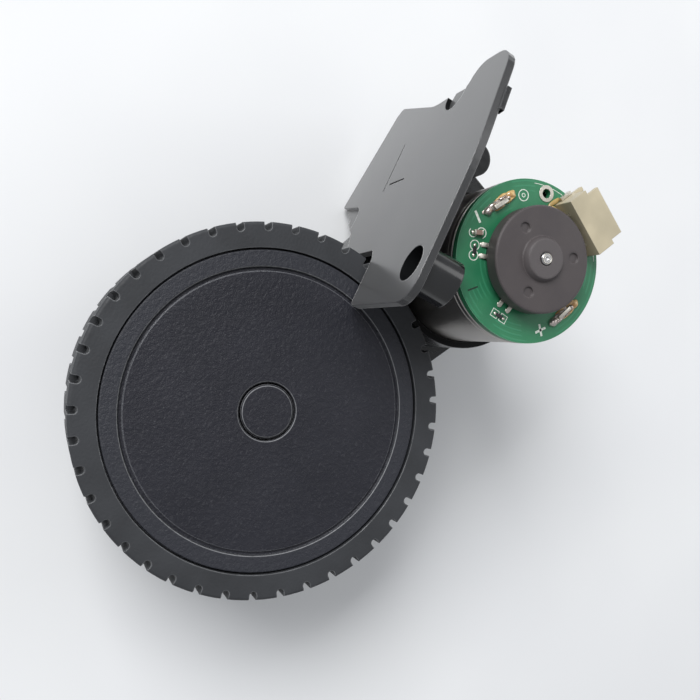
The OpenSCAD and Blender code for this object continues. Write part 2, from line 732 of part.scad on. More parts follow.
// Gearbox arm
module gear_case() {
    arm_inset = 0.6;
    roof_z0 = case_roof;
    color([0.07, 0.07, 0.075]) difference() {
        union() {
            translate([0, 0, cover_t]) linear_extrude(case_h - cover_t) {
                case_outline(0);
                case_ears();
            }
            // motor cup
            post(motor_pos, cup_r, case_roof, case_h + cup_h);
            // arm between the cup and the pivot barrel
            translate([0, 0, barrel_z0]) linear_extrude(barrel_l)
            belt(pivot_pos, barrel_r, motor_pos, cup_r - arm_inset);
            post(wheel_pos, bearing_boss_r, case_roof, bearing_z1);
        }
        // gear room
        translate([0, 0, cover_t - 1]) linear_extrude(roof_z0 - cover_t + 1) difference() {
            case_outline(case_wall);
            for (s = screw_spots) translate(s) circle(screw_boss_r);
        }
        // pilot holes of the case screws
        for (s = screw_spots) post(s, case_screw_r + seat_fit, cover_t - 1, cover_t + case_screw_l + 0.5);
        // relief of the cup beside the tyre
        post(wheel_pos, tyre_r + cup_relief, tyre_z0 - 0.4, case_h + cup_h + 1);
        // motor bore and the opening for its front boss
        post(motor_pos, cup_bore_r, case_h, case_h + cup_h + 1);
        post(motor_pos, motor_bush_r + 0.9, roof_z0 - 1, case_h + 1);
        for (a = [90, -90]) post(motor_screw_spot(a), motor_screw_r + 0.1, roof_z0 - 1, case_h + 1);
        // bush bores
        post(pivot_pos, pivot_bush_r + seat_fit, barrel_z0 - 1, barrel_z1 + 1);
        post(wheel_pos, axle_r + bush_wall + seat_fit, cover_t - 1, bearing_z1 + 1);
        // blind holes of the gear pins
        for (p = [first_pos, second_pos]) post(p, gear_pin_r + seat_fit, roof_z0 - 1, pin_z1);
        // hole for the spring's foot
        post(spring_foot, spring_wire_r + 0.2, spring_z0 - 3, spring_z0);
    }
    color([0.07, 0.07, 0.075]) {
        // supports of the gear pins in the roof, and the bearing boss inside
        tube(second_pos, pin_boss_r, gear_pin_r + seat_fit, level_2 + gear_w_2 + end_play, roof_z0 + 0.1);
        tube(first_pos, pin_boss_r, gear_pin_r + seat_fit, level_1 + gear_w_1 + end_play, roof_z0 + 0.1);
        tube(wheel_pos, bearing_boss_r, axle_r + bush_wall + seat_fit, bearing_z0, roof_z0 + 0.1);
    }
}

function motor_screw_spot(a) = motor_pos + polar(motor_screw_circle_r, motor_dir + a);

module case_cover() {
    color([0.08, 0.08, 0.085]) difference() {
        union() {
            linear_extrude(cover_t) {
                case_outline(0);
                case_ears();
            }
            // supports of the gear pins
            post(first_pos, pin_boss_r, 0.5, level_2 - end_play);
            post(second_pos, pin_boss_r, 0.5, level_3 - 0.3);
        }
        for (s = screw_spots) {
            post(s, case_screw_r + 0.2, -1, cover_t + 1);
            post(s, case_screw_head_r + 0.3, -1, case_screw_head_h + 0.15);
        }
        post(first_pos, gear_pin_r + seat_fit, pin_z0, level_2);
        post(second_pos, gear_pin_r + seat_fit, pin_z0, level_3);
        post(wheel_pos, axle_r + bush_wall + seat_fit, axle_z0 - 0.1, cover_t + 1);
    }
}

module case_screws() {
    color([0.62, 0.63, 0.66]) for (s = screw_spots) difference() {
        union() {
            post(s, case_screw_head_r, 0.15, 0.15 + case_screw_head_h);
            post(s, case_screw_r, 0.2 + case_screw_head_h - 0.1, cover_t + case_screw_l);
        }
        translate([s[0], s[1], 0]) for (a = [0, 90]) rotate(a)
        translate([-1.3, -0.3, 0]) cube([2.6, 0.6, 0.15 + 0.7]);
    }
}

// Plain bearings
module flanged_bush(pos, bore, r, flange_r, z0, z1, flange_z, flange_t) {
    difference() {
        union() {
            post(pos, r, z0, z1);
            post(pos, flange_r, flange_z, flange_z + flange_t);
        }
        post(pos, bore, min(z0, flange_z) - 1, max(z1, flange_z + flange_t) + 1);
    }
}

module pivot_bushes() {
    l = 4;
    bore = pivot_pin_r + run_fit;
    color([0.75, 0.55, 0.3]) {
        flanged_bush(pivot_pos, bore, pivot_bush_r, pivot_flange_r, barrel_z0 - 0.1, barrel_z0 + l,
            barrel_z0 - pivot_flange_t, pivot_flange_t);
        flanged_bush(pivot_pos, bore, pivot_bush_r, pivot_flange_r, barrel_z1 - l, barrel_z1 + 0.1,
            barrel_z1, pivot_flange_t);
    }
}

module axle_bush_outer() {
    color([0.75, 0.55, 0.3])
    flanged_bush(wheel_pos, axle_r + run_fit, axle_r + bush_wall, bearing_boss_r - 0.6,
        bearing_z0, bearing_z1 + 0.1, bearing_z1, bush_flange_t);
}

module axle_bush_inner() {
    color([0.75, 0.55, 0.3])
    tube(wheel_pos, axle_r + bush_wall, axle_r + run_fit, axle_z0 - 0.1, level_3 - 0.25);
}

module gear_pin_1() {
    color([0.75, 0.76, 0.78]) post(first_pos, gear_pin_r, pin_z0, pin_z1);
}

module gear_pin_2() {
    color([0.75, 0.76, 0.78]) post(second_pos, gear_pin_r, pin_z0, pin_z1);
}

// Motor
module motor_can() {
    color([0.36, 0.37, 0.39]) difference() {
        union() {
            post(motor_pos, can_r, can_z0, can_z1);
            post(motor_pos, motor_bush_r + 0.7, can_z0 - 1.2, can_z0 + 0.1);
        }
        post(motor_pos, can_bore_r, can_z0 + can_front_t, can_z1 + 1);
        post(motor_pos, motor_bush_r + seat_fit, can_z0 - 3, can_z0 + 3);
        for (a = [90, -90])
        post(motor_screw_spot(a), motor_screw_r + seat_fit, can_z0 - 1, can_z0 + can_front_t + 1);
    }
}

module motor_end_cap() {
    color([0.12, 0.12, 0.12]) difference() {
        union() {
            post(motor_pos, can_bore_r - seat_fit, end_cap_z0, end_cap_z1);
            // four feet that carry the board
            for (a = [0:90:270])
            post(motor_pos + polar(10.6, a + 14.4), 1.1, end_cap_z1 - 0.1, board_z0);
            tube(motor_pos, motor_bush_r + 1, motor_bush_r + seat_fit, end_cap_z0 - 1.2, end_cap_z1);
        }
        post(motor_pos, motor_bush_r + seat_fit, end_cap_z0 - 2, end_cap_z1 + 1);
        for (a = terminal_turns) translate([motor_pos[0], motor_pos[1], end_cap_z0 - 1]) rotate(a)
        translate([terminal_circle_r - terminal_t / 2 - seat_fit, -terminal_w / 2 - seat_fit, 0])
        cube([terminal_t + 2 * seat_fit, terminal_w + 2 * seat_fit, end_cap_t + 2]);
        for (a = [-15, 165]) translate([motor_pos[0], motor_pos[1], end_cap_z0 - 1]) rotate(a)
        translate([5.6, -1.6, 0]) cube([2.4, 3.2, end_cap_t + 2]);
    }
}

module motor_magnets() {
    z0 = armature_z0 - (magnet_l - armature_l) / 2;
    r1 = can_bore_r - seat_fit;
    color([0.2, 0.2, 0.21]) for (side = [0, 180]) translate([motor_pos[0], motor_pos[1], z0]) rotate(side)
    rotate(-magnet_arc / 2) rotate_extrude(angle = magnet_arc)
    translate([r1 - magnet_t, 0]) square([magnet_t, magnet_l]);
}

module motor_bushes() {
    color([0.7, 0.52, 0.3]) {
        tube(motor_pos, motor_bush_r, shaft_r + run_fit, can_z0 - 1.2, can_z0 - 1.2 + front_bush_l);
        tube(motor_pos, motor_bush_r, shaft_r + run_fit, end_cap_z0 - 1.2, end_cap_z1);
    }
}

module motor_brushes() {
    z = commutator_z0 + commutator_l / 2 - brush_w / 2;
    spring_w = brush_w * 0.8;
    x = commutator_r + run_fit;
    color([0.15, 0.14, 0.14]) for (a = [75, 255]) translate([motor_pos[0], motor_pos[1], z]) rotate(a) {
        translate([x, -brush_w / 2, 0]) cube([brush_l, brush_w, brush_w]);
        // leaf that carries the brush
        translate([x + brush_l, -spring_w / 2, 0]) cube([0.3, spring_w, end_cap_z0 - z]);
    }
}

module motor_screws() {
    head_h = 1.0;
    color([0.62, 0.63, 0.66]) for (a = [90, -90]) {
        post(motor_screw_spot(a), motor_screw_head_r, case_roof - head_h, case_roof);
        post(motor_screw_spot(a), motor_screw_r, case_roof - 0.1, can_z0 + can_front_t + motor_screw_bite);
    }
}

// Encoder board and what is soldered to it
module encoder_board() {
    color([0.13, 0.5, 0.28]) difference() {
        post(motor_pos, board_r, board_z0, board_z1);
        post(motor_pos, 3.2, board_z0 - 1, board_z1 + 1);
        post(motor_pos + hole_pos, plated_hole_r, board_z0 - 1, board_z1 + 1);
        for (a = terminal_turns) translate([motor_pos[0], motor_pos[1], board_z0 - 1]) rotate(a)
        translate([terminal_circle_r - terminal_t / 2 - 0.1, -terminal_w / 2 - 0.1, 0])
        cube([terminal_t + 0.2, terminal_w + 0.2, board_t + 2]);
    }
}

module motor_terminals() {
    terminal_l = board_z1 + 1.5 - end_cap_z0;
    color([0.85, 0.8, 0.7]) for (a = terminal_turns)
    translate([motor_pos[0], motor_pos[1], end_cap_z0 - 1]) rotate(a)
    translate([terminal_circle_r - terminal_t / 2, -terminal_w / 2, 0])
    cube([terminal_t, terminal_w, terminal_l]);
}

module solder_joints() {
    blob_w = 6.4;
    color([0.75, 0.74, 0.7]) for (a = terminal_turns)
    translate([motor_pos[0], motor_pos[1], board_z1]) rotate(a) difference() {
        hull() {
            translate([terminal_circle_r - 0.8, -blob_w / 2 + 0.8, 0]) cylinder(h = 0.15, r = 0.9, $fn = 24);
            translate([terminal_circle_r - 0.8, blob_w / 2 - 0.8, 0]) cylinder(h = 0.15, r = 0.9, $fn = 24);
            translate([terminal_circle_r - 0.1, -blob_w / 4, 0.5]) sphere(0.5, $fn = 16);
            translate([terminal_circle_r - 0.1, blob_w / 4, 0.6]) sphere(0.5, $fn = 16);
        }
        translate([terminal_circle_r - terminal_t / 2, -terminal_w / 2, -1])
        cube([terminal_t, terminal_w, 4]);
        translate([0, -board_r, -2]) cube([board_r, 2 * board_r, 2]);
    }
}

// Frame of the connector: +X out of its mouth, +Z off the board
module at_connector() {
    translate([motor_pos[0] + connector_pos[0], motor_pos[1] + connector_pos[1], board_z1])
    rotate(connector_turn) children();
}

// Place of contact i along the connector
function contact_y(i) = (i - (contact_count - 1) / 2) * contact_pitch;

module connector_shell() {
    t = plug_shell_t;
    inner_w = plug_shell_w - 2 * t;
    color([0.9, 0.86, 0.74]) at_connector() difference() {
        translate([-plug_shell_d / 2, -plug_shell_w / 2, 0]) cube([plug_shell_d, plug_shell_w, plug_shell_h]);
        translate([-plug_shell_d / 2 + 1.4, -inner_w / 2, t])
        cube([plug_shell_d, inner_w, plug_shell_h - 2 * t]);
        // open corners at both ends of the mouth
        for (side = [-1, 1]) translate([plug_shell_d / 2 - 2.4, side * plug_shell_w / 2 - t - 0.1, t + 0.2])
        cube([3, 2 * t + 0.2, plug_shell_h]);
        // passages of the contacts
        for (i = [0:contact_count - 1])
        translate([-plug_shell_d, contact_y(i) - 0.27, plug_shell_h / 2 - 0.27])
        cube([plug_shell_d, 0.54, 0.54]);
    }
}

module connector_contacts() {
    back = -plug_shell_d / 2 - 0.5;
    color([0.82, 0.8, 0.74]) at_connector() {
        for (i = [0:contact_count - 1]) translate([0, contact_y(i) - 0.25, 0]) {
            translate([back, 0, plug_shell_h / 2 - 0.25]) cube([plug_shell_d + 0.2, 0.5, 0.5]);
            translate([back, 0, 0]) cube([0.5, 0.5, plug_shell_h / 2 + 0.25]);
            translate([back - 0.6, -0.1, 0]) cube([1.1, 0.7, 0.2]);
        }
        // side tabs that hold the shell on the board
        for (side = [-1, 1]) translate([-1.9, side * (plug_shell_w / 2 + 0.35) - 0.3, 0]) cube([2.4, 0.6, 1]);
    }
}

module connector_glue() {
    bead = 0.9;
    x = -plug_shell_d / 2 - 1.9;
    color([0.85, 0.7, 0.4]) at_connector() difference() {
        hull() {
            translate([x, -plug_shell_w / 2 + 1, 0.1]) sphere(bead, $fn = 20);
            translate([x, 1.2, 0.15]) sphere(bead, $fn = 20);
        }
        translate([x + 0.65, -plug_shell_w, -1]) cube([3, 2 * plug_shell_w, 4]);
        translate([x - 3, -plug_shell_w, -3]) cube([8, 2 * plug_shell_w, 3]);
    }
}

// A chip with two end contacts, at a place from the motor axis
module chip(pos, turn, l, w, h) {
    translate([motor_pos[0] + pos[0], motor_pos[1] + pos[1], board_z1]) rotate(turn)
    translate([-l / 2, -w / 2, 0]) cube([l, w, h]);
}

module chip_resistors() {
    color([0.12, 0.12, 0.12]) {
        chip([-3.4, 10.2], 18, small_chip_l, small_chip_l / 2, small_chip_l / 3);
        chip([-10.97, 1.07], 87, small_chip_l, small_chip_l / 2, small_chip_l / 3);
    }
}

module chip_capacitors() {
    color([0.62, 0.5, 0.38]) chip([-0.54, 10.97], -65, chip_l, chip_l / 2, chip_l / 2);
}

module hall_sensors() {
    color([0.1, 0.1, 0.1]) for (a = sensor_turns)
    chip(polar(sensor_circle_r, a), a + 90, sensor_w, sensor_w * 0.45, sensor_h);
}

module plated_ring() {
    color([0.8, 0.78, 0.7])
    tube(motor_pos + hole_pos, plated_ring_r, plated_hole_r, board_z1, board_z1 + 0.1);
}

// Tyre: a revolved body with two rows of gaps, the rows half a pitch apart
module tyre_profile() {
    floor_r = tyre_r - notch_depth - 0.2;
    row = (tyre_w - groove_w) / 2;
    difference() {
        translate([rim_r + 0.05, 0]) square([tyre_r - rim_r - 0.05, tyre_w]);
        translate([floor_r, row]) square([tyre_r, groove_w]);
        for (side = [0, 1]) mirror([0, side])
        translate([tyre_r - shoulder_r, side ? -shoulder_r : tyre_w - shoulder_r]) difference() {
            square([2 * shoulder_r, 2 * shoulder_r]);
            circle(shoulder_r, $fn = 24);
        }
    }
}

// Gaps between the blocks of one row
module notches(turn, z0, z1) {
    translate([0, 0, z0]) linear_extrude(z1 - z0)
    for (i = [0:tread_count - 1]) rotate(turn + i * 360 / tread_count) {
        translate([tyre_r - notch_depth + notch_w / 2, 0]) circle(notch_w / 2, $fn = 24);
        translate([tyre_r - notch_depth + notch_w / 2, -notch_w / 2]) square([notch_depth + 1, notch_w]);
    }
}

module tyre() {
    middle = (tyre_z0 + tyre_z1) / 2;
    color([0.11, 0.11, 0.115]) difference() {
        translate([0, 0, tyre_z0]) rotate_extrude($fn = 180) tyre_profile();
        notches(tread_turn, middle + groove_w / 4, tyre_z1 + 1);
        notches(tread_turn + 180 / tread_count, tyre_z0 - 1, middle - groove_w / 4);
    }
}

// Pegs of the cap, between two ribs
peg_turns = [for (i = [0:2]) 180 / rim_ribs + i * 120];

module wheel_rim() {
    rib_z0 = rim_z0 + rim_web / 2;
    rib_z1 = rim_z1 - 0.6;
    color([0.07, 0.07, 0.075]) difference() {
        union() {
            tube(wheel_pos, rim_r, rim_r - rim_wall, rim_z0, rim_z1);
            post(wheel_pos, rim_r - rim_wall + 0.1, rim_z0, rim_z0 + rim_web);
            tube(wheel_pos, ring_r + rib_t / 2, ring_r - rib_t / 2, rib_z0, rib_z1);
            post(wheel_pos, hub_r, rib_z0, axle_z1 + 0.3);
            for (i = [0:rim_ribs - 1]) rotate(i * 360 / rim_ribs)
            translate([hub_r - 0.5, -rib_t / 2, rib_z0])
            cube([rim_r - rim_wall / 2 - hub_r, rib_t, rib_z1 - rib_z0 - 0.4]);
            for (a = peg_turns) post(polar(peg_circle_r, a), peg_r + 1.2, rib_z0, rim_z1 - 0.05);
        }
        translate([0, 0, rim_z0 - 1]) linear_extrude(tyre_w) flatted(axle_r + seat_fit, axle_flat);
        for (a = peg_turns) post(polar(peg_circle_r, a), peg_r + seat_fit, rim_z1 - peg_l - 0.4, rim_z1 + 1);
    }
}

module hub_cap() {
    cap_r = rim_r + 0.05 - cap_seam;
    edge_r = 0.25;
    color([0.09, 0.09, 0.095]) {
        difference() {
            translate([0, 0, rim_z1]) rotate_extrude() difference() {
                square([cap_r, cap_t]);
                translate([cap_r - edge_r, cap_t - edge_r]) difference() {
                    square([1, 1]);
                    circle(edge_r, $fn = 24);
                }
            }
            post(wheel_pos, plug_r + plug_gap, rim_z1 - 1, cap_z1 + 1);
            tube(wheel_pos, cap_groove_r + cap_groove_w / 2, cap_groove_r - cap_groove_w / 2,
                cap_z1 - cap_groove_depth, cap_z1 + 1);
        }
        for (a = peg_turns) post(polar(peg_circle_r, a), peg_r, rim_z1 - peg_l, rim_z1 + 0.1);
    }
}

module centre_plug() {
    plug_t = cap_t - 0.1;
    skirt_r = plug_r - 0.6;
    color([0.08, 0.08, 0.085]) {
        post(wheel_pos, plug_r, cap_z1 - plug_t, cap_z1 + 0.08);
        tube(wheel_pos, skirt_r, skirt_r - 0.8, axle_z1 + 0.3 + seat_fit, cap_z1 - plug_t + 0.1);
    }
}

module wheel_axle() {
    journal_z1 = bearing_z1 + bush_flange_t + 0.2;
    color([0.74, 0.75, 0.77]) difference() {
        union() {
            translate([0, 0, level_3]) linear_extrude(output_hub_z1 - level_3) flatted(axle_r, axle_flat);
            post(wheel_pos, axle_r, axle_z0, level_3);
            post(wheel_pos, axle_r, output_hub_z1, journal_z1);
            translate([0, 0, journal_z1 - 0.05]) linear_extrude(axle_z1 - journal_z1 + 0.05)
            flatted(axle_r, axle_flat);
        }
        post(wheel_pos, wheel_screw_r + seat_fit, axle_z1 - wheel_screw_l - 0.5, axle_z1 + 1);
    }
}

module output_gear() {
    color([0.88, 0.87, 0.82]) difference() {
        union() {
            gear(wheel_pos, module_3, output_count, output_turn, level_3, gear_w_3);
            post(wheel_pos, output_hub_r, level_3, output_hub_z1);
        }
        translate([0, 0, level_3 - 1]) linear_extrude(level_1) flatted(axle_r + seat_fit, axle_flat);
        for (a = [0:60:300]) post(polar(8.6, a), 2.2, level_3 - 1, level_3 + gear_w_3 + 1);
    }
}

module wheel_screw() {
    z = axle_z1 + 0.3;
    color([0.66, 0.67, 0.7]) difference() {
        union() {
            post(wheel_pos, wheel_screw_head_r, z, z + wheel_screw_head_h);
            post(wheel_pos, wheel_screw_r, z - wheel_screw_l, z + 0.1);
        }
        for (a = [0, 90]) rotate(a)
        translate([-1.6, -0.35, z + wheel_screw_head_h - 0.9]) cube([3.2, 0.7, 2]);
    }
}

// Compound gear: a wheel and a pinion in one moulding
module compound_gear(pos, m_wheel, teeth, m_pinion, turn, z_wheel, w_wheel, z_pinion, w_pinion) {
    difference() {
        union() {
            gear(pos, m_wheel, teeth, turn, z_wheel, w_wheel);
            gear(pos, m_pinion, pinion_teeth, turn, z_pinion, w_pinion);
        }
        post(pos, gear_pin_r + run_fit, z_pinion - 1, z_wheel + w_wheel + 1);
    }
}

module first_gear() {
    color([0.88, 0.87, 0.82])
    compound_gear(first_pos, module_1, first_teeth, module_2, first_turn,
        level_1, gear_w_1, level_2, level_1 - level_2 + 0.1);
}

module second_gear() {
    color([0.88, 0.87, 0.82])
    compound_gear(second_pos, module_2, second_teeth, module_3, second_turn,
        level_2, gear_w_2, level_3, level_2 - level_3 + 0.1);
}

module motor_shaft() {
    edge = 0.2;
    dot_r = 0.3;
    color([0.8, 0.81, 0.83]) translate([motor_pos[0], motor_pos[1], 0]) rotate_extrude() polygon([
        [0, shaft_z0], [shaft_r - edge, shaft_z0], [shaft_r, shaft_z0 + edge],
        [shaft_r, shaft_z1 - edge], [shaft_r - edge, shaft_z1], [dot_r, shaft_z1], [0, shaft_z1 - dot_r]
    ]);
}

module motor_pinion() {
    color([0.8, 0.65, 0.35]) difference() {
        gear(motor_pos, module_1, pinion_teeth, motor_turn, pinion_z0, pinion_z1 - pinion_z0);
        post(motor_pos, shaft_r + seat_fit, pinion_z0 - 1, pinion_z1 + 1);
    }
}

module encoder_disc() {
    dimple_circle_r = 6.1;
    dimple_r = 0.9;
    dimple_depth = 0.3;
    cone = 0.6;
    edge = 0.2;
    bore = shaft_r + seat_fit;
    top = disc_t + disc_hub_h;
    color([0.23, 0.21, 0.21]) translate([motor_pos[0], motor_pos[1], disc_z0]) difference() {
        rotate_extrude() polygon([
            [bore, 0], [disc_r - edge, 0], [disc_r, edge], [disc_r, disc_t - edge], [disc_r - edge, disc_t],
            [disc_hub_r + cone, disc_t], [disc_hub_r, top], [bore + edge, top], [bore, top - edge]
        ]);
        for (a = [-60, 60, 180]) rotate(a) translate([dimple_circle_r, 0, disc_t - dimple_depth])
        cylinder(h = 1, r = dimple_r, $fn = 32);
    }
}

module armature_core() {
    slots = 5;
    color([0.45, 0.45, 0.47]) translate([motor_pos[0], motor_pos[1], armature_z0]) linear_extrude(armature_l)
    difference() {
        circle(armature_r);
        circle(shaft_r + seat_fit);
        for (i = [0:slots - 1]) rotate(i * 360 / slots) {
            translate([armature_r - 2, -0.5]) square([3, 1]);
            difference() {
                rotate(-25) sector(armature_r - 1.2, 50);
                circle(4);
            }
        }
    }
}

// Sector of a circle from direction 0 to angle a
module sector(r, a) {
    intersection() {
        circle(r);
        polygon([[0, 0], polar(2 * r, 0), polar(2 * r, a / 2), polar(2 * r, a)]);
    }
}

module armature_windings() {
    coil_r = armature_r - 1.6;
    color([0.72, 0.38, 0.18]) {
        tube(motor_pos, coil_r, shaft_r + seat_fit, armature_z0 - winding_h, armature_z0);
        tube(motor_pos, coil_r, shaft_r + seat_fit, armature_z1, armature_z1 + winding_h);
    }
}

module commutator() {
    color([0.78, 0.5, 0.28]) difference() {
        tube(motor_pos, commutator_r, shaft_r + seat_fit, commutator_z0 - 0.3, commutator_z0 + commutator_l);
        for (i = [0:4]) translate([motor_pos[0], motor_pos[1], commutator_z0]) rotate(i * 72)
        translate([commutator_r - 0.5, -0.15, 0]) cube([1, 0.3, commutator_l + 1]);
    }
}

flange_plate();
pivot_pin();
pivot_clip();
suspension_spring();
stop_pad();
gear_case();
case_cover();
case_screws();
pivot_bushes();
axle_bush_outer();
axle_bush_inner();
gear_pin_1();
gear_pin_2();
motor_can();
motor_end_cap();
motor_magnets();
motor_bushes();
motor_brushes();
motor_screws();
encoder_board();
motor_terminals();
solder_joints();
connector_shell();
connector_contacts();
connector_glue();
chip_resistors();
chip_capacitors();
hall_sensors();
plated_ring();
tyre();
wheel_rim();
hub_cap();
centre_plug();
wheel_axle();
output_gear();
wheel_screw();
first_gear();
second_gear();
motor_shaft();
motor_pinion();
encoder_disc();
armature_core();
armature_windings();
commutator();
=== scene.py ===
import json
import math
import random

import bmesh
import bpy
from mathutils import Matrix, Vector


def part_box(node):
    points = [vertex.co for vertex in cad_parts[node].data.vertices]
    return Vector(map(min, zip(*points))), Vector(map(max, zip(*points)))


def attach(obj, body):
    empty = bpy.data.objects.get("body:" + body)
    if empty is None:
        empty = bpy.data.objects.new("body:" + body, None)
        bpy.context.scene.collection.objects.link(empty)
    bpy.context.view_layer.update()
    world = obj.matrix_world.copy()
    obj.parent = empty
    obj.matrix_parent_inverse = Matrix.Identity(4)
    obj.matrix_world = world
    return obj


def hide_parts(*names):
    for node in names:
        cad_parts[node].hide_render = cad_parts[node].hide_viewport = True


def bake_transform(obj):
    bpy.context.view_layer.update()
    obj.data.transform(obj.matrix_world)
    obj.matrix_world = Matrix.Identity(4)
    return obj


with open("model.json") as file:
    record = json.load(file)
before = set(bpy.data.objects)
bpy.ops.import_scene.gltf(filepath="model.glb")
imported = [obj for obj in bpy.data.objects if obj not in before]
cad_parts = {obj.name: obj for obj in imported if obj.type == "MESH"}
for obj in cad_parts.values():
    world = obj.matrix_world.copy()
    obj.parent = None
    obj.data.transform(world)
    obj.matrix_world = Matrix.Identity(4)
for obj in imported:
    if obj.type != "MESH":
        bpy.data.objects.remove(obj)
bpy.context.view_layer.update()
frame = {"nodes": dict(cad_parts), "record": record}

MM = 0.001
random.seed(7)


# Helpers for places

def middle(node):
    """Middle of a CAD node's box, in millimetres."""
    lo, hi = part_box(node)
    return (lo + hi) / 2 / MM


def top(node):
    """Highest level of a CAD node, in millimetres."""
    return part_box(node)[1].z / MM


def polar(r, angle):
    """Point at distance r and direction angle, in degrees."""
    return Vector((r * math.cos(math.radians(angle)), r * math.sin(math.radians(angle)), 0))


# Small distance that tells one face from the next
CLEAR = 0.02

# Axes of the motor and the pivot, and the reach of the motor's cup from its axis
MOTOR = middle("motor_shaft").xy
PIVOT = middle("pivot_pin").xy
CUP_R = 16
BOARD_TOP = top("encoder_board")

# The wheel's axis, then radii of the seam round its plug, of the slope over the groove's outer
# edge and of the change to the paler ring outside it
WHEEL = (0, 0)
PLUG_SEAM = (4.8, 4.95)
GROOVE_LIP = (24.95, 25.45)
OUTER_RING = (24.9, 25.1)

# The flange's outer face stands at FLANGE_Y. Places on it are along X and Z, with their reach.
FLANGE_Y = -5.1
PLATE = 1.4
WELL = (30.25, 52.9)
WELL_R = 3.2
SEATS = ((66.3, 38.0), (43.86, 10.2))
SEAT_R = 3.4
SEAT_DEPTH = 0.9
SCORES = (((48.6, 59.4), (22.5, 22.8)), ((49.8, 50.1), (24.5, 31.1)))


# Helpers for materials

class Paint:
    """A material that is built node by node. Sizes are in millimetres."""

    def __init__(self, name):
        self.material = bpy.data.materials.new(name)
        self.material.use_nodes = True
        self.tree = self.material.node_tree
        self.tree.nodes.clear()
        self.shader = self.add("ShaderNodeBsdfPrincipled")
        output = self.add("ShaderNodeOutputMaterial")
        self.link(self.shader.outputs["BSDF"], output.inputs["Surface"])
        self.place = self.add("ShaderNodeTexCoord").outputs["Object"]
        self.normal = None

    def add(self, kind, **values):
        node = self.tree.nodes.new(kind)
        for key, value in values.items():
            setattr(node, key, value)
        return node

    def link(self, a, b):
        self.tree.links.new(a, b)

    def put(self, target, value):
        """Sets an input to a value or links an output to it."""
        if isinstance(value, bpy.types.NodeSocket):
            self.link(value, target)
        else:
            target.default_value = value

    def set(self, **values):
        """Constants on the shader's own sockets."""
        for key, value in values.items():
            self.shader.inputs[key.replace("_", " ")].default_value = value

    def noise(self, size, detail=2.0, rough=0.5, stretch=(1, 1, 1)):
        """Noise whose features are about size millimetres wide."""
        mapping = self.add("ShaderNodeMapping")
        self.link(self.place, mapping.inputs["Vector"])
        mapping.inputs["Scale"].default_value = [s / (size * MM) for s in stretch]
        node = self.add("ShaderNodeTexNoise")
        node.inputs["Scale"].default_value = 1.0
        node.inputs["Detail"].default_value = detail
        node.inputs["Roughness"].default_value = rough
        self.link(mapping.outputs["Vector"], node.inputs["Vector"])
        return node.outputs["Fac"]

    def span(self, value, low, high, a=0.0, b=1.0):
        """Value mapped smoothly from low..high to a..b and held there outside."""
        node = self.add("ShaderNodeMapRange", interpolation_type="SMOOTHSTEP")
        self.put(node.inputs["Value"], value)
        for key, v in zip(("From Min", "From Max", "To Min", "To Max"), (low, high, a, b)):
            node.inputs[key].default_value = v
        return node.outputs["Result"]

    def math(self, operation, a, b=None):
        node = self.add("ShaderNodeMath", operation=operation)
        for target, value in zip(node.inputs, (a, b)):
            if value is not None:
                self.put(target, value)
        return node.outputs["Value"]

    def mix(self, fac, a, b):
        """Mix of two colours."""
        node = self.add("ShaderNodeMix", data_type="RGBA", blend_type="MIX")
        for target, value in zip((node.inputs[0], node.inputs[6], node.inputs[7]), (fac, a, b)):
            if isinstance(value, (tuple, list)):
                value = (*value[:3], 1)
            self.put(target, value)
        return node.outputs[2]

    def axis(self, name):
        """One coordinate of the place, in millimetres."""
        node = self.add("ShaderNodeSeparateXYZ")
        self.link(self.place, node.inputs["Vector"])
        return self.math("MULTIPLY", node.outputs[name], 1 / MM)

    def radius(self, centre):
        """Distance from an upright line through centre, in millimetres."""
        x = self.math("SUBTRACT", self.axis("X"), centre[0])
        y = self.math("SUBTRACT", self.axis("Y"), centre[1])
        return self.math("SQRT", self.math("ADD", self.math("MULTIPLY", x, x), self.math("MULTIPLY", y, y)))

    def colour(self, value):
        target = self.shader.inputs["Base Color"]
        if isinstance(value, (tuple, list)):
            value = (*value[:3], 1)
        self.put(target, value)

    def rough(self, value):
        self.put(self.shader.inputs["Roughness"], value)

    def bevel(self, radius):
        """Rounds the look of sharp edges by radius millimetres."""
        node = self.add("ShaderNodeBevel", samples=4)
        node.inputs["Radius"].default_value = radius * MM
        if self.normal is not None:
            self.link(self.normal, node.inputs["Normal"])
        self.normal = node.outputs["Normal"]
        self.link(self.normal, self.shader.inputs["Normal"])

    def bump(self, height, depth):
        """Bump whose height of 0 to 1 spans depth millimetres."""
        node = self.add("ShaderNodeBump")
        node.inputs["Strength"].default_value = 1.0
        node.inputs["Distance"].default_value = depth * MM
        self.link(height, node.inputs["Height"])
        if self.normal is not None:
            self.link(self.normal, node.inputs["Normal"])
        self.normal = node.outputs["Normal"]
        self.link(self.normal, self.shader.inputs["Normal"])

    def edge(self, radius):
        """1 along sharp edges and 0 elsewhere."""
        node = self.add("ShaderNodeBevel", samples=4)
        node.inputs["Radius"].default_value = radius * MM
        geometry = self.add("ShaderNodeNewGeometry")
        dot = self.add("ShaderNodeVectorMath", operation="DOT_PRODUCT")
        self.link(node.outputs["Normal"], dot.inputs[0])
        self.link(geometry.outputs["Normal"], dot.inputs[1])
        return self.span(dot.outputs["Value"], 0.995, 0.86)


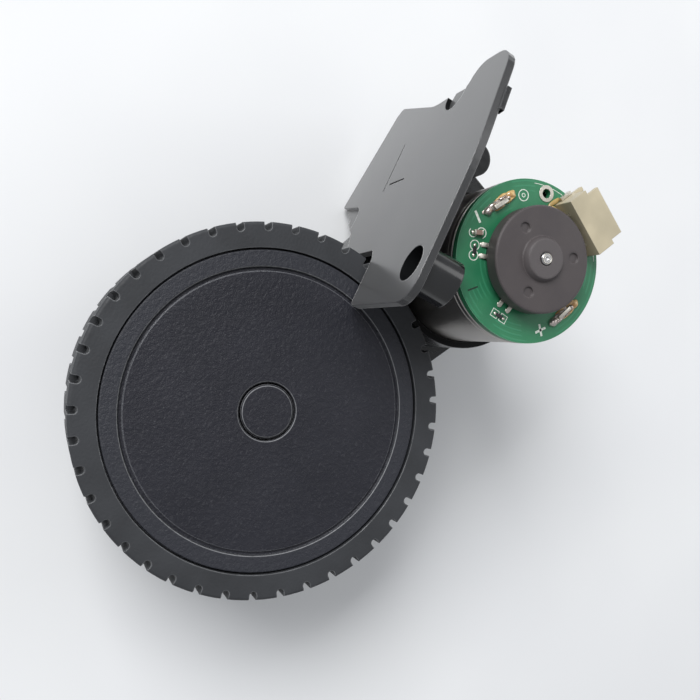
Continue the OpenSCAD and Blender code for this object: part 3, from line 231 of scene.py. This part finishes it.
def plastic(name, base, rough, grain, grain_depth, edge_wear_highlight, bevel=0.2, specular=0.5):
    """Moulded plastic: fine grain, faint scuffs, and smoother edges, paler from wear and a painted
    highlight.
    """
    p = Paint(name)
    cloud = p.noise(9, detail=3)
    shade = p.mix(p.span(cloud, 0.3, 0.7), [c * 0.86 for c in base], [c * 1.16 for c in base])
    # Edges are painted paler, partly wear and partly a painted highlight.
    wear_and_highlight = p.math("MULTIPLY", p.edge(bevel), p.span(p.noise(2.5, detail=3), 0.25, 0.7, 0.35, 1))
    p.colour(p.mix(wear_and_highlight, shade, edge_wear_highlight))
    scuff = p.noise(1.2, detail=4, stretch=(1, 0.25, 1))
    fine = p.span(scuff, 0.3, 0.7, rough - 0.05, rough + 0.05)
    flat = p.math("ADD", fine, p.span(cloud, 0.3, 0.7, -0.03, 0.03))
    p.rough(p.math("MULTIPLY", flat, p.span(wear_and_highlight, 0, 1, 1.0, 0.5)))
    p.bevel(bevel)
    p.bump(p.noise(grain, detail=2), grain_depth)
    p.set(Specular_IOR_Level=specular)
    return p.material


def metal(name, base, rough, brush=(1, 1, 8), brush_size=0.3, depth=0.01):
    """Metal with drawn or turned lines and faint stains."""
    p = Paint(name)
    stain = p.span(p.noise(3, detail=4), 0.35, 0.75)
    p.colour(p.mix(p.math("MULTIPLY", stain, 0.5), base, [c * 0.72 for c in base]))
    lines = p.noise(brush_size, detail=3, stretch=brush)
    drawn = p.span(lines, 0.3, 0.7, rough - 0.06, rough + 0.06)
    p.rough(p.math("ADD", drawn, p.math("MULTIPLY", stain, 0.06)))
    p.bevel(0.1)
    p.bump(lines, depth)
    p.set(Metallic=1.0)
    return p.material


# Materials

def board_paint():
    """Green lacquer over faint round tracks, with a pale cut edge."""
    p = Paint("board_green")
    radians_per_mm = 7.5
    ring = p.math("SINE", p.math("MULTIPLY", p.radius(MOTOR), radians_per_mm))
    track = p.math("MULTIPLY", p.span(ring, 0.3, 0.7), p.span(p.noise(5, detail=1), 0.5, 0.56))
    green = p.mix(p.span(p.noise(6, detail=2), 0.3, 0.7), (0.02, 0.15, 0.07), (0.028, 0.185, 0.085))
    green = p.mix(p.math("MULTIPLY", track, 0.6), green, (0.04, 0.23, 0.12))
    p.colour(p.mix(p.math("MULTIPLY", p.edge(0.12), 0.8), green, (0.3, 0.6, 0.42)))
    p.rough(p.span(p.noise(1.5, detail=2), 0.3, 0.7, 0.28, 0.38))
    p.bevel(0.08)
    p.bump(track, 0.015)
    p.set(Specular_IOR_Level=0.5)
    return p.material


def flange_paint():
    """Moulded plastic that turns pale at a flat angle, with a painted highlight on its edges."""
    p = Paint("flange_black")
    base = p.mix(p.span(p.noise(14, detail=1), 0.35, 0.65), (0.014, 0.0145, 0.016), (0.018, 0.0185, 0.02))
    # Edges are painted paler as a highlight along the rounded corners.
    p.colour(p.mix(p.edge(0.25), base, (0.08, 0.08, 0.085)))
    p.rough(p.span(p.noise(9, detail=2), 0.3, 0.7, 0.25, 0.27))
    p.bevel(0.3)
    p.set(Specular_IOR_Level=0.8, IOR=1.6, Sheen_Weight=0.85, Sheen_Roughness=0.3)
    return p.material


def wheel_paint():
    """Finely sparked mould texture, paler on the outer ring, with edges paler from wear and a painted
    highlight.

    A rounded seam runs round the plug with painted shade in it and painted highlights on its slopes, and
    the groove's outer lip has a painted highlight.
    """
    p = Paint("wheel_black")
    r = p.radius(WHEEL)
    slope = 0.5
    cloud = p.span(p.noise(11, detail=3), 0.3, 0.7)
    base = p.mix(cloud, (0.0105, 0.011, 0.017), (0.0145, 0.015, 0.022))
    base = p.mix(p.span(r, *OUTER_RING), base, (0.023, 0.0245, 0.032))
    grain = p.noise(0.6, detail=4, rough=0.65)
    base = p.mix(p.math("MULTIPLY", p.span(grain, 0.55, 0.75), 0.5), base, (0.045, 0.046, 0.055))
    inner, outer = PLUG_SEAM
    seam = p.math("ADD", p.span(r, inner - slope, inner, 1, 0), p.span(r, outer, outer + slope))
    lip = p.span(r, *GROOVE_LIP)
    # Painted shade in the seam round the plug.
    base = p.mix(p.span(seam, 0.0, 0.35), (0.002, 0.002, 0.003), base)
    # Edges are painted paler, partly wear and partly a painted highlight.
    wear_and_highlight = p.math("MULTIPLY", p.edge(0.25), p.span(p.noise(2.5, detail=3), 0.25, 0.7, 0.7, 1))
    # Painted highlights on the seam's slopes and on the groove's outer lip.
    for rise, light in ((seam, (0.26, 0.265, 0.28)), (lip, (0.3, 0.305, 0.32))):
        rounded = p.math("MULTIPLY", p.span(rise, 0.4, 0.7), p.span(rise, 1.0, 0.8))
        base = p.mix(rounded, base, light)
    p.colour(p.mix(wear_and_highlight, base, (0.22, 0.225, 0.245)))
    flat = p.span(p.noise(1.2, detail=4), 0.3, 0.7, 0.38, 0.48)
    p.rough(p.math("MULTIPLY", flat, p.span(wear_and_highlight, 0, 1, 1.0, 0.6)))
    p.bevel(0.25)
    p.bump(grain, 0.2)
    p.bump(p.math("ADD", seam, lip), 0.6)
    p.set(Specular_IOR_Level=0.4)
    return p.material


def disc_paint():
    """Brown moulded magnet disc, with painted highlights on the hub's top and on its edges."""
    p = Paint("disc_brown")
    base = p.mix(p.span(p.noise(5, detail=3), 0.3, 0.7), (0.05, 0.042, 0.044), (0.058, 0.049, 0.05))
    # Painted highlights: paler on the hub's domed top and along the edges.
    base = p.mix(p.span(p.radius(MOTOR), 3.9, 3.5), base, (0.078, 0.069, 0.071))
    p.colour(p.mix(p.math("MULTIPLY", p.edge(0.3), 0.6), base, (0.14, 0.125, 0.125)))
    p.rough(p.span(p.noise(1.5, detail=3), 0.3, 0.7, 0.42, 0.5))
    p.bevel(0.5)
    p.bump(p.noise(0.25, detail=1), 0.01)
    p.set(Specular_IOR_Level=0.5)
    return p.material


def can_paint():
    """Plated steel with soft long stains."""
    p = Paint("can_steel")
    stain = p.span(p.noise(6, detail=3, stretch=(1, 1, 0.4)), 0.3, 0.7)
    p.colour(p.mix(stain, (0.52, 0.5, 0.48), (0.58, 0.55, 0.52)))
    p.rough(p.span(p.noise(5, detail=2, stretch=(1, 1, 0.3)), 0.3, 0.7, 0.3, 0.34))
    p.bevel(0.15)
    p.set(Metallic=1.0)
    return p.material


def solder_paint():
    """Dull pinkish solder with a little brown flux."""
    p = Paint("solder")
    flux = p.math("MULTIPLY", p.span(p.noise(0.9, detail=3), 0.52, 0.62), 0.8)
    p.colour(p.mix(flux, (0.6, 0.53, 0.5), (0.3, 0.18, 0.1)))
    p.put(p.shader.inputs["Metallic"], p.span(flux, 0.2, 0.8, 0.9, 0.1))
    p.rough(p.span(flux, 0.2, 0.8, 0.32, 0.4))
    p.bump(p.noise(0.5, detail=2), 0.04)
    return p.material


def flux_paint():
    """Glassy amber flux."""
    p = Paint("flux")
    p.colour(p.mix(p.span(p.noise(0.8, detail=3), 0.35, 0.65), (0.62, 0.42, 0.17), (0.4, 0.22, 0.08)))
    p.rough(0.18)
    p.bump(p.noise(0.4, detail=2), 0.05)
    p.set(Specular_IOR_Level=0.6, Coat_Weight=0.5, Coat_Roughness=0.08)
    return p.material


def print_paint(name, base):
    """Thin printed marks on the board."""
    p = Paint(name)
    p.colour(p.mix(p.span(p.noise(0.4, detail=2), 0.35, 0.6), [c * 0.75 for c in base], base))
    p.rough(0.6)
    return p.material


# Base colour, roughness, grain size and depth, edge colour of wear and painted highlight, then bevel and
# specular level
PLASTICS = {
    # A glossier copy of the flange plastic for parts behind the plate, painted darker as shade.
    "flange_gloss_shaded": ((0.008, 0.0085, 0.0095), 0.17, 0.5, 0.002, (0.05, 0.05, 0.055), 0.3, 0.8),
    # Painted shade for the insides of the flange's well, seats and score lines.
    "flange_recess_shade": ((0.004, 0.0045, 0.005), 0.5, 0.5, 0.01, (0.006, 0.006, 0.006), 0.1, 0.15),
    "case_black": ((0.008, 0.009, 0.011), 0.26, 0.3, 0.004, (0.16, 0.16, 0.165), 0.25, 0.6),
    # The motor cup's top edge: painted shade with a painted highlight on its corner.
    "case_lip_shade": ((0.003, 0.0035, 0.004), 0.4, 0.3, 0.004, (0.2, 0.2, 0.205), 0.15, 0.15),
    "tyre_rubber": ((0.03, 0.032, 0.036), 0.6, 0.5, 0.05, (0.24, 0.245, 0.255), 0.3, 0.4),
    "pad_rubber": ((0.02, 0.02, 0.02), 0.7, 0.4, 0.03, (0.06, 0.06, 0.06), 0.3, 0.3),
    "end_cap_plastic": ((0.03, 0.03, 0.03), 0.5, 0.3, 0.02, (0.08, 0.08, 0.08)),
    "carbon": ((0.03, 0.03, 0.03), 0.6, 0.2, 0.03, (0.06, 0.06, 0.06), 0.1),
    "ferrite": ((0.06, 0.058, 0.058), 0.5, 0.2, 0.02, (0.1, 0.1, 0.1), 0.2),
    "sensor_black": ((0.02, 0.02, 0.02), 0.45, 0.15, 0.01, (0.05, 0.05, 0.05), 0.08),
    "chip_black": ((0.02, 0.02, 0.022), 0.3, 0.15, 0.005, (0.06, 0.06, 0.06), 0.06),
    "chip_tan": ((0.25, 0.17, 0.14), 0.4, 0.15, 0.01, (0.4, 0.3, 0.25), 0.06),
    "gear_white": ((0.72, 0.7, 0.64), 0.4, 0.3, 0.01, (0.85, 0.83, 0.78), 0.1),
    "connector_cream": ((0.45, 0.395, 0.275), 0.4, 0.4, 0.012, (0.58, 0.53, 0.4), 0.2),
    "glue_amber": ((0.42, 0.29, 0.11), 0.2, 0.6, 0.02, (0.55, 0.42, 0.22), 0.2),
}

# Base colour and roughness, then the lines' stretch, size and depth
EVEN = (1, 1, 1)
METALS = {
    "steel": ((0.62, 0.62, 0.63), 0.2, EVEN, 2, 0.001),
    "spring_steel": ((0.55, 0.55, 0.56), 0.25, EVEN),
    "clip_steel": ((0.1, 0.1, 0.105), 0.35),
    "screw_steel": ((0.5, 0.5, 0.52), 0.3, EVEN),
    "bronze": ((0.5, 0.33, 0.15), 0.45, EVEN),
    "pinion_brass": ((0.72, 0.52, 0.22), 0.3),
    "core_steel": ((0.3, 0.3, 0.31), 0.4, (0.2, 0.2, 6)),
    "copper": ((0.62, 0.26, 0.11), 0.3, (0.3, 0.3, 4)),
    "tinned": ((0.68, 0.65, 0.58), 0.35, EVEN),
}

PRINTS = {"print_white": (0.72, 0.78, 0.7), "print_dark": (0.012, 0.03, 0.02)}


def make_materials():
    """Every material, by its name."""
    made = {name: plastic(name, *values) for name, values in PLASTICS.items()}
    made.update((name, metal(name, *values)) for name, values in METALS.items())
    made.update((name, print_paint(name, base)) for name, base in PRINTS.items())
    made["flange_black"] = flange_paint()
    made["wheel_black"] = wheel_paint()
    made["disc_brown"] = disc_paint()
    made["can_steel"] = can_paint()
    made["solder"] = solder_paint()
    made["flux"] = flux_paint()
    made["board_green"] = board_paint()
    return made


materials = make_materials()
slots = {part["node"]: part["material_slot"] for part in frame["record"]["subparts"]}
for name, node in frame["nodes"].items():
    node.data.materials.clear()
    node.data.materials.append(materials[slots[name]])


def off_line(point, line):
    """Distance of a point from a line along Y."""
    return math.hypot(point.x - line[0], point.z - line[1])


def in_score(point):
    """Whether a point lies in one of the score lines."""
    edge = CLEAR / 2
    return any(x0 - edge < point.x < x1 + edge and z0 - edge < point.z < z1 + edge
               for (x0, x1), (z0, z1) in SCORES)


def part_flange(node):
    """Glossy moulded parts behind the plate, painted darker as shade, and painted shade in the recesses and
    score lines of its face.
    """
    node.data.materials.append(materials["flange_gloss_shaded"])
    node.data.materials.append(materials["flange_recess_shade"])
    for face in node.data.polygons:
        point = node.matrix_world @ face.center / MM
        depth = FLANGE_Y - point.y
        in_seat = any(off_line(point, seat) < SEAT_R for seat in SEATS) and depth < SEAT_DEPTH - CLEAR
        # Faces inside the well, the seats and the score lines get painted shade.
        if depth > CLEAR and (off_line(point, WELL) < WELL_R or in_seat or in_score(point)):
            face.material_index = 2
        # Parts behind the plate take the glossier copy that is painted darker as shade.
        elif depth > PLATE + CLEAR:
            face.material_index = 1


def part_case(node):
    """The motor cup's top edge gets painted shade, dark and dull, with a painted highlight on its outer
    corner.
    """
    node.data.materials.append(materials["case_lip_shade"])
    level = top("gear_case")
    for face in node.data.polygons:
        point = node.matrix_world @ face.center / MM
        # Faces on the cup's top edge get painted shade and a painted edge highlight.
        if point.z > level - CLEAR and (point.xy - MOTOR).length < CUP_R:
            face.material_index = 1


part_flange(frame["nodes"]["flange_plate"])
part_case(frame["nodes"]["gear_case"])


# Helpers for pieces. Their shapes are drawn in millimetres.

def finish_piece(name, bm, paint, body="arm", smooth=35):
    """Object from a bmesh, that rides on a body unless body is None."""
    bmesh.ops.recalc_face_normals(bm, faces=bm.faces)
    bmesh.ops.scale(bm, vec=(MM, MM, MM), verts=bm.verts)
    mesh = bpy.data.meshes.new(name)
    bm.to_mesh(mesh)
    bm.free()
    mesh.shade_smooth()
    mesh.set_sharp_from_angle(angle=math.radians(smooth))
    mesh.materials.append(materials[paint])
    piece = bpy.data.objects.new(name, mesh)
    bpy.context.scene.collection.objects.link(piece)
    if body:
        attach(piece, body)
    return piece


def sweep(bm, path, radius, sides=12, closed=False):
    """Round wire along a path."""
    n = len(path)
    rings = []
    for i, point in enumerate(path):
        ahead = path[(i + 1) % n] if closed else path[min(i + 1, n - 1)]
        behind = path[i - 1] if closed else path[max(i - 1, 0)]
        t = (ahead - behind).normalized()
        u = t.cross(Vector((0.13, 0.21, 1))).normalized()
        v = t.cross(u)
        rings.append([bm.verts.new(point + radius * (math.cos(a) * u + math.sin(a) * v))
                      for a in (2 * math.pi * k / sides for k in range(sides))])
    for i in range(n if closed else n - 1):
        a, b = rings[i], rings[(i + 1) % n]
        for k in range(sides):
            j = (k + 1) % sides
            bm.faces.new((a[k], a[j], b[j], b[k]))
    if not closed:
        bm.faces.new(rings[0])
        bm.faces.new(rings[-1])


def block(bm, centre, size, turn=0.0, tilt=0.0, bevel=0.05):
    """Box with rounded edges, turned about Z and tilted about its own Y."""
    place = Matrix.Translation(centre) @ Matrix.Rotation(math.radians(turn), 4, "Z") \
        @ Matrix.Rotation(math.radians(tilt), 4, "Y")
    cube = bmesh.ops.create_cube(bm, size=1, matrix=place @ Matrix.Diagonal((*size, 1)))
    edges = {edge for vert in cube["verts"] for edge in vert.link_edges}
    bmesh.ops.bevel(bm, geom=list(edges), offset=bevel, segments=3, affect="EDGES", profile=0.5)


def dome(bm, centre, rx, ry, height, turn, lumps):
    """Low oval drop on a flat ground, closed below. Its foot waves by the share lumps."""
    sides, levels = 28, 8
    spin = Matrix.Rotation(math.radians(turn), 3, "Z")
    phase = [random.uniform(0, 2 * math.pi) for _ in range(3)]
    rings = []
    for level in range(levels):
        t = level / levels
        z = height * math.sin(t * math.pi / 2)
        ring = []
        for k in range(sides):
            a = 2 * math.pi * k / sides
            wave = sum(math.sin((j + 2) * a + phase[j]) for j in range(3)) / 3
            r = math.cos(t * math.pi / 2) * (1 + lumps * wave)
            offset = Vector((rx * r * math.cos(a), ry * r * math.sin(a), z))
            ring.append(bm.verts.new(centre + spin @ offset))
        rings.append(ring)
    peak = bm.verts.new(centre + Vector((0, 0, height)))
    for a, b in zip(rings, rings[1:]):
        for k in range(sides):
            j = (k + 1) % sides
            bm.faces.new((a[k], a[j], b[j], b[k]))
    for k in range(sides):
        bm.faces.new((rings[-1][k], rings[-1][(k + 1) % sides], peak))
    bm.faces.new(list(reversed(rings[0])))


def stroke(bm, points, width, z, closed=False, height=0.03):
    """Flat printed line through points, as a thin solid."""
    n = len(points)
    left, right = [], []
    for i, point in enumerate(points):
        ahead = points[(i + 1) % n] if closed else points[min(i + 1, n - 1)]
        behind = points[i - 1] if closed else points[max(i - 1, 0)]
        t = (Vector(ahead) - Vector(behind)).normalized()
        side = Vector((-t.y, t.x)) * width / 2
        for row, w in ((left, side), (right, -side)):
            row.append([bm.verts.new((point[0] + w.x, point[1] + w.y, level))
                        for level in (z, z + height)])
    for i in range(n if closed else n - 1):
        j = (i + 1) % n
        a, b, c, d = left[i], left[j], right[j], right[i]
        bm.faces.new((a[1], b[1], c[1], d[1]))
        bm.faces.new((a[0], d[0], c[0], b[0]))
        bm.faces.new((a[0], b[0], b[1], a[1]))
        bm.faces.new((d[0], d[1], c[1], c[0]))
    if not closed:
        for i in (0, n - 1):
            bm.faces.new((left[i][0], left[i][1], right[i][1], right[i][0]))


def arc(centre, r, start=0.0, end=360.0, steps=32):
    """Points of an arc. A full turn leaves out its last point."""
    count = steps if abs(end - start) >= 360 else steps + 1
    return [(centre[0] + r * math.cos(a), centre[1] + r * math.sin(a))
            for a in (math.radians(start + (end - start) * k / steps) for k in range(count))]


def on_board(x, y, z=0.0):
    """Point above the board, from the motor axis."""
    return Vector((MOTOR.x + x, MOTOR.y + y, BOARD_TOP + z))


def motor_ring(bm, r, level, wire, steps):
    """Closed ring of wire round the motor axis."""
    sweep(bm, [Vector((x, y, level)) for x, y in arc(MOTOR, r, steps=steps)], wire, 8, True)


# Pieces on the board. Directions are in degrees and distances from the motor axis.

TERMINALS = (58.8, 244.5)
SOLDER_R = 11.25
TAB_R = 11.05

# Sensors and their leads: middles of the outer two and of the inner one, how far their solder
# lies from these, and how far the outer two stand to either side
SENSORS = (107, 174.3)
OUTER_LEADS = 8.95
INNER_LEAD = 6.65
LEAD_REACH = (0.4, 0.3)
LEAD_SPREAD = 0.95

# Places of pads, of the large chip's ends, of a printed ring and of the connector
PADS = ((-2.59, 10.46), (-4.19, 9.94), (-10.92, 1.96), (-11.02, 0.17))
LARGE_CHIP = ((-0.88, 11.69), (-0.2, 10.24))
PRINTED_RING = (9.45, 5.98)
CONNECTOR = (11.1, -6.3)
CONNECTOR_TURN = -28.8

# Drops at a terminal: place along it and outward, half length, half width and height
SOLDER_DROPS = (
    (0.2, 0, 3.3, 0.8, 0.35), (2.55, -0.1, 0.85, 0.75, 0.85), (1.3, 0.35, 0.9, 0.4, 0.6),
    (0.4, -0.5, 1.1, 0.35, 0.5), (-1.7, -0.05, 0.55, 0.5, 1.05), (-0.7, 0.45, 0.7, 0.35, 0.7),
)
FLUX_DROPS = (
    (-2.8, 0.05, 1.0, 0.75, 0.6), (-2.1, -0.55, 1.1, 0.4, 0.5), (-1.0, 0.7, 1.3, 0.3, 0.4),
    (0.1, -0.8, 1.2, 0.25, 0.3),
)


def make_print():
    """Printed outlines, a cross and a dash on the board."""
    bm = bmesh.new()

    def line(points, width=0.16, closed=False):
        stroke(bm, [(MOTOR.x + x, MOTOR.y + y) for x, y in points], width, BOARD_TOP, closed)

    line([(2.53, 12.92), (1.21, 11.22)], 0.42)
    for angle, length in ((-40, 2.2), (40, 2.1)):
        v = polar(length / 2, angle)
        line([(-9.43 - v.x, -7.37 - v.y), (-9.43 + v.x, -7.37 + v.y)], 0.4)
    for centre in PADS[:2]:
        line(arc(centre, 0.82), closed=True)
    line(arc(LARGE_CHIP[0], 0.72, 60, 300))
    line(arc(LARGE_CHIP[1], 0.86, -140, 80))
    corners = ((-0.7, -0.6), (0.6, -0.7), (0.7, 0.6), (-0.6, 0.7))
    for centre in PADS[2:]:
        line([(centre[0] + x, centre[1] + y) for x, y in corners], closed=True)
    line(arc(PRINTED_RING, 0.95), closed=True)
    line(arc(PRINTED_RING, 0.3), 0.14, closed=True)
    line(arc((0, 0), 13.35, -62, 22, steps=40), 0.1)
    finish_piece("board_print", bm, "print_white")
    bm = bmesh.new()
    line(((-9.89, 8.26), (-9.1, 7.5), (-8.44, 6.87)), 0.26)
    finish_piece("board_tick", bm, "print_dark")


def make_solder():
    """Solder on the terminals, the pads, the chips' ends and the sensors' leads."""
    bm = bmesh.new()
    flux = bmesh.new()
    for turn in TERMINALS:
        along = polar(1, turn + 90)
        out = polar(1, turn)
        centre = on_board(*(out * SOLDER_R).xy)
        if turn > 180:
            along = -along
        for target, drops, lumps in ((bm, SOLDER_DROPS, 0.2), (flux, FLUX_DROPS, 0.22)):
            for u, v, rx, ry, height in drops:
                dome(target, centre + along * u + out * v, rx, ry, height, turn + 90, lumps)
    terminals = finish_piece("terminal_solder", bm, "solder", smooth=180)
    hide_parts("solder_joints")
    finish_piece("terminal_flux", flux, "flux", smooth=180)
    bm = bmesh.new()
    for x, y in PADS:
        dome(bm, on_board(x, y), 0.36, 0.32, 0.3, random.uniform(0, 180), 0.08)
    for x, y in LARGE_CHIP:
        dome(bm, on_board(x, y), 0.42, 0.36, 0.28, random.uniform(0, 180), 0.08)
    for turn in SENSORS:
        for side in (-1, 1):
            foot = polar(OUTER_LEADS + LEAD_REACH[0], turn) + polar(LEAD_SPREAD * side, turn + 90)
            dome(bm, on_board(*foot.xy), 0.5, 0.48, 0.22, turn, 0.08)
        foot = polar(INNER_LEAD - LEAD_REACH[1], turn)
        dome(bm, on_board(*foot.xy), 0.5, 0.36, 0.22, turn, 0.08)
    finish_piece("pad_solder", bm, "tinned", smooth=180)


def make_tabs():
    """Terminals bent flat on the board, sensor leads and chip end caps."""
    bm = bmesh.new()
    for turn in TERMINALS:
        block(bm, on_board(*polar(TAB_R, turn).xy, 0.85), (0.75, 2.9, 0.2), turn, 10, 0.08)
    for turn in SENSORS:
        for side in (-1, 1):
            lead = polar(OUTER_LEADS, turn) + polar(LEAD_SPREAD * side, turn + 90)
            block(bm, on_board(*lead.xy, 0.3), (1.2, 0.75, 0.14), turn, 14, 0.05)
        lead = polar(INNER_LEAD, turn)
        block(bm, on_board(*lead.xy, 0.2), (0.9, 0.42, 0.14), turn, -12, 0.05)
    a, b = (Vector(p) for p in LARGE_CHIP)
    turn = math.degrees(math.atan2(b.y - a.y, b.x - a.x))
    centre = (a + b) / 2
    for side in (-1, 1):
        end = centre + (b - a).normalized() * 0.68 * side
        block(bm, on_board(end.x, end.y, 0.42), (0.28, 0.86, 0.84), turn, 0, 0.06)
    finish_piece("board_leads", bm, "tinned")


def make_connector_trim():
    """Adhesive and flux at the back of the connector."""
    bm = bmesh.new()
    spin = Matrix.Rotation(math.radians(CONNECTOR_TURN), 3, "Z")
    for x, y, rx, ry, height in ((-3.75, 4.35, 0.75, 1.15, 0.85), (-3.7, -4.55, 0.8, 1.0, 0.8),
                                 (-2.9, 5.75, 1.5, 0.45, 0.35)):
        centre = on_board(*CONNECTOR) + spin @ Vector((x, y, 0))
        dome(bm, centre, rx, ry, height, CONNECTOR_TURN, 0.12)
    finish_piece("connector_flux", bm, "glue_amber", smooth=180)


def make_can_rim():
    """Rolled rim of the motor can and the joint line below it."""
    bm = bmesh.new()
    z = top("motor_can")
    for level, r in ((z - 0.16, 13.86), (z - 1.5, 13.82)):
        motor_ring(bm, r, level, 0.16, 128)
    finish_piece("can_rim", bm, "can_steel", smooth=180)


def make_shaft_ring():
    """Bright turned rings on the shaft's end."""
    bm = bmesh.new()
    level = top("motor_shaft") - 0.04
    for r, wire in ((0.8, 0.1), (0.42, 0.06)):
        motor_ring(bm, r, level, wire, 48)
    finish_piece("shaft_ring", bm, "tinned", body="rotor", smooth=180)


def make_spring():
    """Torsion spring of the suspension, one end in the arm and one leg under the flange."""
    wire, turns, start, end = 0.45, 5, 200, 0
    r = 2.85
    z0 = 29.95
    z1 = z0 + turns * 2 * wire + 0.5
    sweep_turn = turns * 360 + end - start
    steps = turns * 40
    centre = Vector((PIVOT.x, PIVOT.y, 0))
    coil = [centre + polar(r, start + i * sweep_turn / steps) + Vector((0, 0, z0 + (z1 - z0) * i / steps))
            for i in range(steps + 1)]
    back = polar(1, start - 90)
    foot = coil[0] + back * 2.6
    path = [
        foot + Vector((0, 0, -2.4)),
        foot + Vector((0, 0, -0.9)),
        foot - back * 0.1 + Vector((0, 0, -0.35)),
        foot - back * 0.5,
        coil[0] + back,
        *coil,
    ]
    leg = Vector((coil[-1].x, FLANGE_Y - PLATE - wire - CLEAR, z1))
    bend = ((0, -4), (0, -1.3), (-0.2, -0.8), (-0.5, -0.35), (-0.9, -0.1), (-1.4, 0), (-4, 0))
    path += [leg + Vector((x, y, 0)) for x, y in bend]
    bm = bmesh.new()
    sweep(bm, path, wire, 14)
    spring = finish_piece("spring_coil", bm, "spring_steel", body=None, smooth=60)
    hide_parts("suspension_spring")
    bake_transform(spring)


make_print()
make_solder()
make_tabs()
make_connector_trim()
make_can_rim()
make_shaft_ring()
make_spring()


# Floor, lights and camera

def make_floor():
    """Pale paper under the object."""
    bpy.ops.mesh.primitive_plane_add(size=4, location=(0, 0, 0))
    floor = bpy.context.object
    floor.name = "floor"
    p = Paint("floor_paper")
    p.colour(p.mix(p.span(p.noise(60, detail=2), 0.3, 0.7), (0.74, 0.75, 0.765), (0.77, 0.78, 0.79)))
    p.rough(0.6)
    p.set(Specular_IOR_Level=0.2)
    floor.data.materials.append(p.material)


def make_light(name, place, size, power):
    """Rectangular lamp at place that looks at the object. Sizes are in metres, power in watts."""
    aim = Vector((0.02, 0, 0.02))
    data = bpy.data.lights.new(name, "AREA")
    data.shape = "RECTANGLE"
    data.size, data.size_y = size
    data.energy = power
    lamp = bpy.data.objects.new(name, data)
    bpy.context.scene.collection.objects.link(lamp)
    lamp.location = place
    lamp.rotation_euler = (aim - Vector(place)).to_track_quat("-Z", "Y").to_euler()


def make_world(level):
    """Even pale light from all round."""
    world = bpy.data.worlds.new("room")
    world.use_nodes = True
    world.node_tree.nodes["Background"].inputs["Color"].default_value = (0.95, 0.97, 1, 1)
    world.node_tree.nodes["Background"].inputs["Strength"].default_value = level
    bpy.context.scene.world = world


def make_camera():
    """Camera fitted to the photograph's ellipses and edges."""
    place = Vector((-3.47, 39.14, 167.82)) * MM
    ahead = Vector((0.137, -0.3332, -0.9329)).normalized()
    up = Vector((0.8988, 0.4377, -0.0243))
    side = ahead.cross(up).normalized()
    up = side.cross(ahead)
    data = bpy.data.cameras.new("photo_camera")
    data.sensor_width = 36
    data.lens = 41.2
    data.clip_start = 0.005
    data.clip_end = 20
    camera = bpy.data.objects.new("photo_camera", data)
    bpy.context.scene.collection.objects.link(camera)
    camera.matrix_world = Matrix((
        (side.x, up.x, -ahead.x, place.x),
        (side.y, up.y, -ahead.y, place.y),
        (side.z, up.z, -ahead.z, place.z),
        (0, 0, 0, 1),
    ))
    bpy.context.scene.camera = camera


make_floor()
make_light("window", (0.38, 0.63, 0.74), (0.63, 0.48), 11.4)
make_light("bounce", (0.5, -0.5, 0.5), (0.5, 0.5), 1.2)
make_world(0.43)
make_camera()

view_settings = bpy.context.scene.view_settings
view_settings.view_transform = "Standard"
